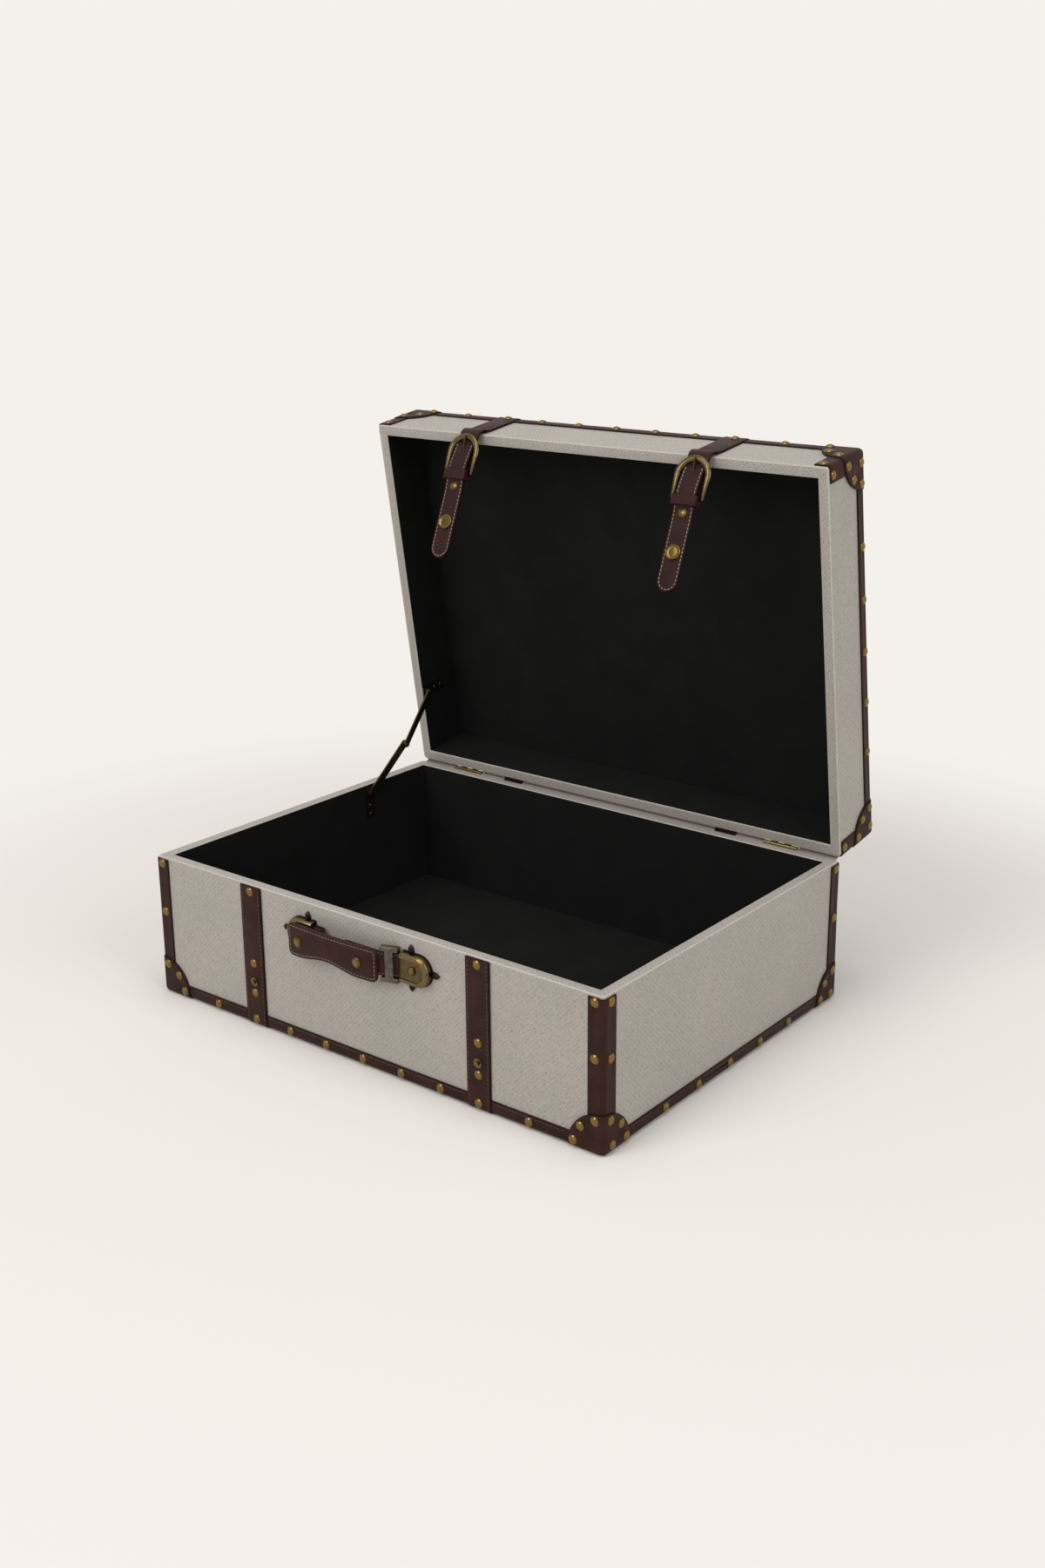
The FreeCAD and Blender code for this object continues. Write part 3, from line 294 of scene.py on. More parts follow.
@dataclass(frozen=True)
class Covering:
    """Grey-beige coated cloth with a basket-weave emboss, square to the sides of its own half."""

    half: Half
    colour: Colour = (0.42, 0.382, 0.343)
    cool: Colour = (0.368, 0.342, 0.311)
    pit_colour: Colour = (0.205, 0.178, 0.152)
    pitch: float = 3.6 * MM
    depth: float = 0.3 * MM
    shine: float = 0.4

    def material(self, name: str) -> bpy.types.Material:
        """Make the covering.

        Args:
            name: The material's name.

        Returns:
            The new material.
        """
        material, g, surface, spot = new_material(name)
        normal = g.add("TexCoord").outputs["Normal"]
        if self.half is Half.LID:
            turn = {"Vector": spot, "Center": HINGE, "Angle": OPENING}
            spot = g.add("VectorRotate", turn, rotation_type="X_AXIS").outputs[0]
            turn = {"Vector": normal, "Angle": OPENING}
            normal = g.add("VectorRotate", turn, rotation_type="X_AXIS").outputs[0]
        weave = g.group(weave_group(), Vector=spot, Normal=normal, Pitch=self.pitch)
        tone = g.blend(g.ramp(weave["Mottle"], 0.35, 0.65), (*self.colour, 1), (*self.cool, 1))
        pitted = g.math("MULTIPLY", weave["Pits"], 0.9)
        g.feed(surface, {"Base Color": g.blend(pitted, tone, (*self.pit_colour, 1)),
                         "Roughness": g.ramp(weave["Height"], 0.0, 1.0, 0.75, 0.55),
                         "Specular IOR Level": self.shine,
                         "Normal": g.bump(weave["Height"], self.depth, 0.8)})
        return material


@dataclass(frozen=True)
class Leather:
    """Dark brown leather with a pebbled grain."""

    colour: Colour = (0.043, 0.0158, 0.012)
    deep: Colour = (0.025, 0.0092, 0.0072)
    roughness: float = 0.46
    shine: float = 0.1
    cells: float = 850.0
    depth: float = 0.12 * MM

    def material(self, name: str) -> bpy.types.Material:
        """Make the leather.

        Args:
            name: The material's name.

        Returns:
            The new material.
        """
        material, g, surface, spot = new_material(name)
        grain = g.group(grain_group(), Vector=spot, Cells=self.cells)
        tone = g.blend(g.ramp(grain["Mottle"], 0.3, 0.7), (*self.deep, 1), (*self.colour, 1))
        creased = g.math("MULTIPLY", grain["Creases"], 0.45)
        g.feed(surface, {"Base Color": g.blend(creased, tone, (*self.deep, 1)),
                         "Roughness": g.math("MULTIPLY_ADD", grain["Mottle"], 0.16, self.roughness - 0.08),
                         "Specular IOR Level": self.shine,
                         "Normal": g.bump(grain["Height"], self.depth, 0.7)})
        return material


@dataclass(frozen=True)
class AgedMetal:
    """Plated metal with dark patina in patches, and darker towards the rims of its buttons: partly tarnish,
    partly painted shade for the darker reflections on a dome's flanks.
    """

    colour: Colour = (0.175, 0.125, 0.052)
    dark: Colour = (0.042, 0.03, 0.014)
    roughness: float = 0.2
    age: float = 0.45
    depth: float = 0.02 * MM

    def material(self, name: str) -> bpy.types.Material:
        """Make the metal.

        Args:
            name: The material's name.

        Returns:
            The new material.
        """
        material, g, surface, spot = new_material(name)
        aged = g.group(patina_group(), Vector=spot, Age=self.age)
        # Rim darkening of the buttons from the attribute: partly tarnish, partly painted shade on the domes'
        # flanks.
        tarnish = g.add("Attribute", attribute_name="tarnish").outputs["Fac"]
        dull = g.math("MAXIMUM", g.math("MULTIPLY", aged["Patina"], 0.8), g.math("MULTIPLY", tarnish, 0.92))
        g.feed(surface, {"Base Color": g.blend(dull, (*self.colour, 1), (*self.dark, 1)),
                         "Roughness": g.math("MULTIPLY_ADD", dull, 0.25, self.roughness),
                         "Metallic": 1.0,
                         "Normal": g.bump(aged["Height"], self.depth, 0.5)})
        return material


@dataclass(frozen=True)
class Matt:
    """Plain dull stuff with a fibrous surface: lining, board and thread."""

    colour: Colour
    second: Colour
    roughness: float = 0.92
    fibre: float = 900.0
    depth: float = 0.1 * MM
    shine: float = 0.15

    def material(self, name: str) -> bpy.types.Material:
        """Make the stuff.

        Args:
            name: The material's name.

        Returns:
            The new material.
        """
        material, g, surface, spot = new_material(name)
        fibres = g.group(fibre_group(), Vector=spot, Scale=self.fibre)
        g.feed(surface, {"Base Color": g.blend(fibres["Patches"], (*self.colour, 1), (*self.second, 1)),
                         "Roughness": g.math("MULTIPLY_ADD", fibres["Height"], 0.12, self.roughness - 0.06),
                         "Specular IOR Level": self.shine,
                         "Normal": g.bump(fibres["Height"], self.depth, 0.5)})
        return material


# Lighter copy of the covering for the rounded rim folds: a painted highlight along the fold edges.
FOLD_HIGHLIGHT_CLOTH = ((0.54, 0.502, 0.455), (0.5, 0.466, 0.424), (0.36, 0.32, 0.28))
# Darker copy of the covering for the cloth in the back gap: painted shade for the shadow in the gap.
SHADED_CLOTH = ((0.225, 0.204, 0.18), (0.2, 0.184, 0.164), (0.11, 0.096, 0.082))


class Finish(Enum):
    """Every finish of the trunk."""

    COVERING_BASE = Covering(Half.BASE)
    COVERING_LID = Covering(Half.LID)
    # The rim folds of each half wear the lighter covering: painted highlight.
    WORN_FOLD_BASE = Covering(Half.BASE, *FOLD_HIGHLIGHT_CLOTH)
    WORN_FOLD_LID = Covering(Half.LID, *FOLD_HIGHLIGHT_CLOTH)
    # The gap cloth wears the darker covering: painted shade.
    GAP_CLOTH = Covering(Half.BASE, *SHADED_CLOTH)
    LEATHER = Leather()
    LEATHER_EDGE = Leather((0.014, 0.0065, 0.0055), (0.009, 0.0045, 0.004), 0.52)
    # Darker copy of the strap leather for the tongue: painted shade, offsetting the extra light on its
    # upward face.
    TONGUE_LEATHER = Leather((0.0345, 0.0122, 0.0096), (0.02, 0.0072, 0.0058))
    RED_LEATHER = Leather((0.0445, 0.0106, 0.0098), (0.0255, 0.0072, 0.0068), 0.42)
    ANTIQUE_BRASS = AgedMetal()
    NAIL_BRASS = AgedMetal((0.22, 0.137, 0.038), (0.03, 0.019, 0.007), 0.1, 0.34)
    SNAP_BRASS = AgedMetal((0.15, 0.096, 0.03), (0.03, 0.02, 0.008), 0.13, 0.36)
    # Darker, olive copy of the brass for the buckle: its own olive tone plus painted shade, as the buckle
    # hangs in shade.
    BUCKLE_BRASS = AgedMetal((0.118, 0.087, 0.039), (0.035, 0.026, 0.012))
    DARK_BRASS = AgedMetal((0.095, 0.077, 0.034), (0.035, 0.028, 0.014), 0.36, 0.46)
    DULL_BRASS = AgedMetal((0.12, 0.088, 0.04), (0.05, 0.036, 0.018), 0.34, 0.48)
    WORN_STEEL = AgedMetal((0.13, 0.117, 0.1), (0.035, 0.03, 0.026), 0.3, 0.52)
    DARK_BRONZE = AgedMetal((0.045, 0.037, 0.03), (0.02, 0.016, 0.013), 0.42, 0.5)
    BLACK_LINING = Matt((0.0056, 0.006, 0.0058), (0.0084, 0.0089, 0.0086), shine=0.13)
    FIBREBOARD = Matt((0.42, 0.31, 0.2), (0.3, 0.21, 0.13), 0.85, 400.0)
    THREAD = Matt((0.3, 0.215, 0.19), (0.2, 0.14, 0.125), 0.8, 3000.0)
    DARK_THREAD = Matt((0.1, 0.066, 0.055), (0.06, 0.04, 0.034), 0.8, 3000.0)

    @cached_property
    def material(self) -> bpy.types.Material:
        """The finish's material, made when it is first asked for."""
        return self.value.material(self.name.lower())


def dress_nodes(finish: Finish, *nodes: str) -> None:
    """Give solids that are shown as they are a finish.

    Args:
        finish: What they wear.
        nodes: The solids.
    """
    for node in nodes:
        for slot in frame["nodes"][node].material_slots:
            slot.material = finish.material
        LOG.info("%s wears %s", node, finish.material.name)


def activate(piece: bpy.types.Object) -> None:
    """Select one object alone and make it active.

    Args:
        piece: The object.
    """
    bpy.ops.object.select_all(action="DESELECT")
    piece.select_set(True)
    bpy.context.view_layer.objects.active = piece


@contextmanager
def editing(piece: bpy.types.Object, mode: str = "FACE") -> Iterator[bpy.types.Object]:
    """Hold a piece in edit mode with all of it selected.

    Args:
        piece: The object to edit.
        mode: Which elements the selection works on.
    """
    activate(piece)
    bpy.ops.object.mode_set(mode="EDIT")
    bpy.ops.mesh.select_mode(type=mode)
    bpy.ops.mesh.select_all(action="SELECT")
    yield piece
    bpy.ops.object.mode_set(mode="OBJECT")


def pick(elements: Iterable, wanted: Callable[..., bool]) -> None:
    """Select some elements of the mesh in edit mode, and no others.

    Args:
        elements: All vertices or all edges of the mesh.
        wanted: Whether an element is to be selected.
    """
    bpy.ops.mesh.select_all(action="DESELECT")
    bpy.ops.object.mode_set(mode="OBJECT")
    for element in elements:
        element.select = wanted(element)
    bpy.ops.object.mode_set(mode="EDIT")


def face_outwards(merge: bool = False) -> None:
    """Point all faces of the mesh in edit mode outwards.

    Args:
        merge: Whether doubles are merged first.
    """
    bpy.ops.mesh.select_all(action="SELECT")
    if merge:
        bpy.ops.mesh.remove_doubles(threshold=MERGE)
    bpy.ops.mesh.normals_make_consistent(inside=False)


def apply_modifier(piece: bpy.types.Object, kind: str, **settings: object) -> None:
    """Add a modifier to a piece, set it and apply it.

    Args:
        piece: The object that takes the modifier.
        kind: The modifier's type.
        settings: Its properties.
    """
    activate(piece)
    modifier = piece.modifiers.new(kind.lower(), kind)
    for key, value in settings.items():
        setattr(modifier, key, value)
    bpy.ops.object.modifier_apply(modifier=modifier.name)


def smooth(piece: bpy.types.Object, angle: float = SOFT_ANGLE) -> None:
    """Shade a piece smooth except across edges sharper than an angle."""
    activate(piece)
    bpy.ops.object.shade_smooth_by_angle(angle=math.radians(angle))


def round_edges(piece: bpy.types.Object, width: float, segments: int = 2, slot: int = -1) -> None:
    """Bevel the sharp edges of a piece and shade it smooth between them.

    Args:
        piece: The object to soften.
        width: Bevel width in metres.
        segments: Steps across each bevel.
        slot: Material slot of the new faces, or -1 for the neighbours' own.
    """
    apply_modifier(piece, "BEVEL", width=width, segments=segments, limit_method="ANGLE", material=slot,
                   angle_limit=math.radians(40), use_clamp_overlap=False, miter_outer="MITER_ARC")
    smooth(piece)


def paint(piece: bpy.types.Object, *finishes: Finish) -> None:
    """Give a piece its material slots afresh.

    Args:
        piece: The object to paint.
        finishes: The finish of each slot.
    """
    piece.data.materials.clear()
    for finish in finishes:
        piece.data.materials.append(finish.material)


def place_mesh(piece: bpy.types.Object, place: Matrix) -> None:
    """Move a finished mesh to its place, with the object left at the origin."""
    piece.data.transform(place @ piece.matrix_world)
    piece.matrix_world = Matrix.Identity(4)


def linked(name: str, data: bpy.types.ID) -> bpy.types.Object:
    """Put a mesh, a light or a camera in the scene.

    Args:
        name: The object's name.
        data: What it shows.

    Returns:
        The new object, at the origin.
    """
    item = bpy.data.objects.new(name, data)
    bpy.context.scene.collection.objects.link(item)
    return item


def new_piece(name: str, add: Callable[..., set[str]], **sizes: object) -> bpy.types.Object:
    """Start a piece from a primitive.

    Args:
        name: The piece's name.
        add: The operator that adds the primitive.
        sizes: The primitive's own settings.

    Returns:
        The new object, alone selected.
    """
    bpy.ops.object.select_all(action="DESELECT")
    add(**sizes)
    piece = bpy.context.object
    piece.name = name
    return piece


def settle(piece: bpy.types.Object, body: str, slot: str, *nodes: str) -> None:
    """Ride a finished piece on a body, unless it bends between two, and report it.

    Args:
        piece: The finished object.
        body: The body that carries it.
        slot: Not used.
        nodes: The solids that it stands for.
    """
    if "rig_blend" not in piece:
        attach(piece, body)
    if nodes:
        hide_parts(*nodes)
    LOG.info("%s: %d faces on %s", piece.name, len(piece.data.polygons), body)


def bend(piece: bpy.types.Object, bodies: tuple[str, str], ends: Sequence[Vector], slot: str,
         *nodes: str) -> None:
    """Let a finished piece bend from one body to another, and settle it.

    Args:
        piece: The finished object.
        bodies: The body that it starts on and the one that it ends on.
        ends: Where the bend starts and where it ends.
        slot: Passed on to settle, which does not use it.
        nodes: The solids that it stands for.
    """
    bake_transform(piece, *bodies, start=ends[0], end=ends[1])
    settle(piece, bodies[1], slot, *nodes)


def cad_copy(node: str, name: str) -> bpy.types.Object:
    """Copy a solid's mesh into a new piece, merged and with its flat faces made whole.

    Args:
        node: The solid to copy.
        name: The new piece's name.

    Returns:
        The new object, at the origin.
    """
    piece = linked(name, frame["nodes"][node].data.copy())
    activate(piece)
    bpy.ops.mesh.customdata_custom_splitnormals_clear()
    with editing(piece, "VERT"):
        bpy.ops.mesh.remove_doubles(threshold=CAD_MERGE)
        bpy.ops.mesh.dissolve_limited(angle_limit=math.radians(0.5))
    return piece


def softened(node: str, body: str, rounding: float, finish: Finish) -> None:
    """Copy a leather solid and round its edges, dark where they are cut.

    Args:
        node: The solid to copy and stand for.
        body: The body that carries it.
        rounding: Width of the rounded edges in metres.
        finish: The leather of its faces.
    """
    piece = cad_copy(node, node + "_leather")
    paint(piece, finish, Finish.LEATHER_EDGE)
    round_edges(piece, rounding, 2, 1)
    settle(piece, body, "leather", node)


def islands(mesh: bpy.types.Mesh, place: Matrix) -> list[tuple[Vector, Vector]]:
    """Find the separate solids of a merged mesh.

    Args:
        mesh: The mesh to read.
        place: A matrix that the mesh is seen through.

    Returns:
        The lowest and highest corner of each solid.
    """
    owner = list(range(len(mesh.vertices)))

    def root(index: int) -> int:
        """Follow a vertex to the one that stands for its solid.

        Args:
            index: The vertex.

        Returns:
            The vertex that stands for its solid.
        """
        while owner[index] != index:
            owner[index] = owner[owner[index]]
            index = owner[index]
        return index

    for edge in mesh.edges:
        first, second = (root(v) for v in edge.vertices)
        owner[first] = second
    found: dict[int, list[Vector]] = {}
    for vertex in mesh.vertices:
        found.setdefault(root(vertex.index), []).append(place @ vertex.co)
    return [(Vector(map(min, *points)), Vector(map(max, *points))) for points in found.values()]


def distances(points: Sequence[Vector]) -> list[float]:
    """Return how far along a line each of its points lies."""
    return list(accumulate(((b - a).length for a, b in pairwise(points)), initial=0.0))


def scaled(points: Iterable[Spot], first: float = MM, second: float = MM) -> list[Spot]:
    """Scale both measures of each point, by default from millimetres to metres."""
    return [(a * first, b * second) for a, b in points]


def arc(centre: Vector, start: Vector, end: Vector, steps: int) -> list[Vector]:
    """Return the points of a quarter turn round a centre, from one radius vector to another."""
    angles = [math.pi / 2 * step / steps for step in range(steps + 1)]
    return [centre + start * math.cos(a) + end * math.sin(a) for a in angles]


def seat_matrix(place: Vector, normal: Vector, along: Optional[Vector] = None) -> Matrix:
    """Return the matrix that stands a shape on a surface.

    Args:
        place: The seat, where the shape's origin goes.
        normal: Where the shape's Z points.
        along: Where its X points, if that matters.

    Returns:
        The seat's matrix.
    """
    z_axis = normal.normalized()
    x_axis = (along or z_axis.orthogonal()).normalized()
    turn = Matrix((x_axis, z_axis.cross(x_axis), z_axis)).transposed().to_4x4()
    return Matrix.Translation(place) @ turn


class Course:
    """A smooth line that a strap follows, with the direction of its width and its outward side."""

    def __init__(self, points: Sequence[Vector], across: Vector, steps: int = 6) -> None:
        """Fit a curve through points.

        Args:
            points: Points of the line, in order.
            across: Unit vector across the strap; across times the line's direction points outwards.
            steps: Pieces that each stretch between two points is cut into.
        """
        inner = [(after - before).normalized() for before, after in zip(points, points[2:])]
        ways = [(points[1] - points[0]).normalized(), *inner, (points[-1] - points[-2]).normalized()]
        self.across = across
        self.line = [points[0]]
        for (a, b), (leave, arrive) in zip(pairwise(points), pairwise(ways)):
            reach = (b - a).length / 3
            self.line += interpolate_bezier(a, a + leave * reach, b - arrive * reach, b, steps + 1)[1:]
        runs = [(b - a).normalized() for a, b in pairwise(self.line)]
        self.ways = [ways[0], *((a + b).normalized() for a, b in pairwise(runs)), ways[-1]]
        self.marks = distances(self.line)

    @property
    def length(self) -> float:
        """Length of the line."""
        return self.marks[-1]

    def band(self, half: float) -> list[Spot]:
        """Return the outline of a strap of even width: distance along it and half its width."""
        return [(mark, half) for mark in self.marks]

    def seat(self, distance: float, aside: float = 0.0, lift: float = 0.0) -> Matrix:
        """Return a place on the strap as a matrix: X across, Y along, Z outwards.

        Args:
            distance: How far along the line.
            aside: How far across it.
            lift: How far off it, outwards.

        Returns:
            The place's matrix.
        """
        index = min(max(bisect_right(self.marks, distance) - 1, 0), len(self.line) - 2)
        share = (distance - self.marks[index]) / (self.marks[index + 1] - self.marks[index])
        along = self.ways[index].lerp(self.ways[index + 1], share).normalized()
        turn = Matrix((self.across, along, self.across.cross(along))).transposed().to_4x4()
        place = self.line[index].lerp(self.line[index + 1], share)
        return Matrix.Translation(place) @ turn @ Matrix.Translation((aside, 0, lift))

    def lay(self, piece: bpy.types.Object) -> None:
        """Lay a flat piece along the line: its X goes across, its Y along and its Z outwards.

        Args:
            piece: The flat piece.
        """
        for vertex in piece.data.vertices:
            aside, distance, lift = vertex.co
            vertex.co = self.seat(distance, aside, lift).translation
        smooth(piece)


def strip(name: str, course: Course, outline: Sequence[Spot], thickness: float, rounding: float,
          face: Finish = Finish.LEATHER, edge: Finish = Finish.LEATHER_EDGE) -> bpy.types.Object:
    """Model a flat strap by extruding an edge, thicken it, round its edges and lay it on its course.

    Args:
        name: The piece's name.
        course: The line that it follows.
        outline: Distance along the strap and half its width there, step by step.
        thickness: Thickness in metres, half on each side.
        rounding: Width of the rounded edges in metres.
        face: The finish of its faces.
        edge: The finish of its cut edges.

    Returns:
        The new object.
    """
    piece = new_piece(name, bpy.ops.mesh.primitive_plane_add, size=1.0)
    paint(piece, face, edge)
    steps = [outline[0], outline[0], outline[1], outline[1]]
    for vertex, (distance, half), way in zip(piece.data.vertices, steps, (-1, 1, -1, 1)):
        vertex.co = (way * half, distance, 0)
    with editing(piece, "VERT"):
        pick(piece.data.vertices, lambda vertex: vertex.index > 1)
        for (before, half), (after, next_half) in pairwise(outline[1:]):
            bpy.ops.mesh.extrude_region_move(TRANSFORM_OT_translate={"value": (0, after - before, 0)})
            if next_half != half:
                bpy.ops.transform.resize(value=(next_half / half, 1, 1))
        face_outwards()
    apply_modifier(piece, "SOLIDIFY", thickness=thickness, offset=0.0, material_offset_rim=1)
    with editing(piece):
        face_outwards()
    round_edges(piece, rounding, 2, 1)
    course.lay(piece)
    return piece


def turned(name: str, profile: Sequence[Spot], steps: int, worn: Spot = (0.4, 0.95)) -> bpy.types.Object:
    """Model a round piece about Z by spinning a profile, with its rim darkening marked in an attribute:
    partly tarnish, partly painted shade.

    Args:
        name: The piece's name.
        profile: Radius and height of each point, in metres.
        steps: Sides round the piece.
        worn: Shares of the radius at which the rim darkening, tarnish and painted shade, starts and is full.

    Returns:
        The new object, with an attribute from 0 to 1 for the rim darkening, tarnish and painted shade.
    """
    piece = new_piece(name, bpy.ops.mesh.primitive_plane_add, size=MM)
    with editing(piece, "VERT"):
        bpy.ops.mesh.merge(type="CENTER")
        bpy.ops.transform.translate(value=(profile[0][0], 0, profile[0][1]))
        for (r0, z0), (r1, z1) in pairwise(profile):
            bpy.ops.mesh.extrude_region_move(TRANSFORM_OT_translate={"value": (r1 - r0, 0, z1 - z0)})
        bpy.ops.mesh.select_all(action="SELECT")
        bpy.ops.mesh.spin(steps=steps, angle=2 * math.pi, center=(0, 0, 0), axis=(0, 0, 1))
        face_outwards(merge=True)
    reach = max(radius for radius, _ in profile)
    tarnish = piece.data.attributes.new("tarnish", "FLOAT", "POINT")
    for vertex, mark in zip(piece.data.vertices, tarnish.data):
        mark.value = min(max((vertex.co.xy.length / reach - worn[0]) / (worn[1] - worn[0]), 0), 1)
    smooth(piece, ROUND_ANGLE)
    return piece


def button_profile(radius: float, height: float, lip: float, rings: int = 5) -> list[Spot]:
    """Draw the profile of a domed head that stands on Z = 0 on a thin lip.

    Args:
        radius: The head's radius.
        height: Its height.
        lip: Height of the lip.
        rings: Steps up the dome.

    Returns:
        Radius and height of each point.
    """
    shares = [1 - step / rings for step in range(rings)]
    dome = [(radius * share, lip + (height - lip) * (1 - share ** 2)) for share in shares]
    return [(0, 0), (radius, 0), *dome, (0, height)]


def scattered(name: str, model: bpy.types.Object, places: Sequence[Matrix],
              finish: Finish) -> bpy.types.Object:
    """Copy one modelled shape to many places in a single mesh, and remove the model.

    Args:
        name: The new piece's name.
        model: The shape to copy.
        places: Where each copy goes.
        finish: What the copies wear.

    Returns:
        The new object, at the origin.
    """
    count = len(model.data.vertices)
    corners = np.array([vertex.co[:] + (1.0,) for vertex in model.data.vertices])
    spots = np.concatenate([corners @ np.array(place).T[:, :3] for place in places])
    faces = [[v + count * copy for v in polygon.vertices]
             for copy in range(len(places)) for polygon in model.data.polygons]
    mesh = bpy.data.meshes.new(name)
    mesh.from_pydata(spots.tolist(), [], faces)
    tarnish = [mark.value for mark in model.data.attributes["tarnish"].data]
    mesh.attributes.new("tarnish", "FLOAT", "POINT").data.foreach_set("value", tarnish * len(places))
    bpy.data.objects.remove(model)
    piece = linked(name, mesh)
    smooth(piece, ROUND_ANGLE)
    paint(piece, finish)
    return piece


@dataclass(frozen=True)
class Stitching:
    """A row of even stitches in thick thread; the profile is in shares of half the width and length."""

    pitch: float = 4.2 * MM
    length: float = 2.9 * MM
    width: float = 1.15 * MM
    height: float = 0.7 * MM
    sides: int = 6
    profile: tuple[Spot, ...] = ((0, -1), (0.75, -0.82), (1, -0.4), (1, 0.4), (0.75, 0.82), (0, 1))

    def seats(self, course: Course, line: Sequence[Spot], lift: float) -> list[Matrix]:
        """Space stitches along a line on a strap.

        Args:
            course: The strap's course.
            line: Points of the row, each as distance across and distance along.
            lift: Height of the strap's face above its course.

        Returns:
            The place of each stitch.
        """
        spots = [Vector(point) for point in line]
        marks = distances(spots)
        count = max(1, round(marks[-1] / self.pitch))
        places = []
        for number in range(count):
            distance = (number + 0.5) * marks[-1] / count
            index = min(bisect_right(marks, distance), len(spots) - 1)
            a, b = spots[index - 1], spots[index]
            spot = a.lerp(b, (distance - marks[index - 1]) / (marks[index] - marks[index - 1]))
            turn = Matrix.Rotation(math.atan2(a.x - b.x, b.y - a.y), 4, "Z")
            places.append(course.seat(spot.y, spot.x, lift) @ turn)
        return places

    def edge_seats(self, course: Course, aside: float, margin: float, lift: float) -> list[Matrix]:
        """Space stitches along both edges of a strap.

        Args:
            course: The strap's course.
            aside: How far each row lies from the strap's middle.
            margin: How far the rows stop short of the strap's ends.
            lift: Height of the strap's face above its course.

        Returns:
            The place of each stitch.
        """
        rows = [[(way * aside, margin), (way * aside, course.length - margin)] for way in (-1, 1)]
        return [seat for row in rows for seat in self.seats(course, row, lift)]

    def sew(self, name: str, places: Sequence[Matrix], thread: Finish) -> bpy.types.Object:
        """Model one stitch and copy it to its places.

        Args:
            name: The piece's name.
            places: The place of each stitch.
            thread: The thread's finish.

        Returns:
            The new object.
        """
        profile = scaled(self.profile, self.width / 2, self.length / 2)
        stitch = turned(name + "_model", profile, self.sides)
        flat = Matrix.Diagonal((1, 1, self.height / self.width, 1)) @ Matrix.Rotation(math.pi / 2, 4, "X")
        stitch.data.transform(flat)
        return scattered(name, stitch, places, thread)


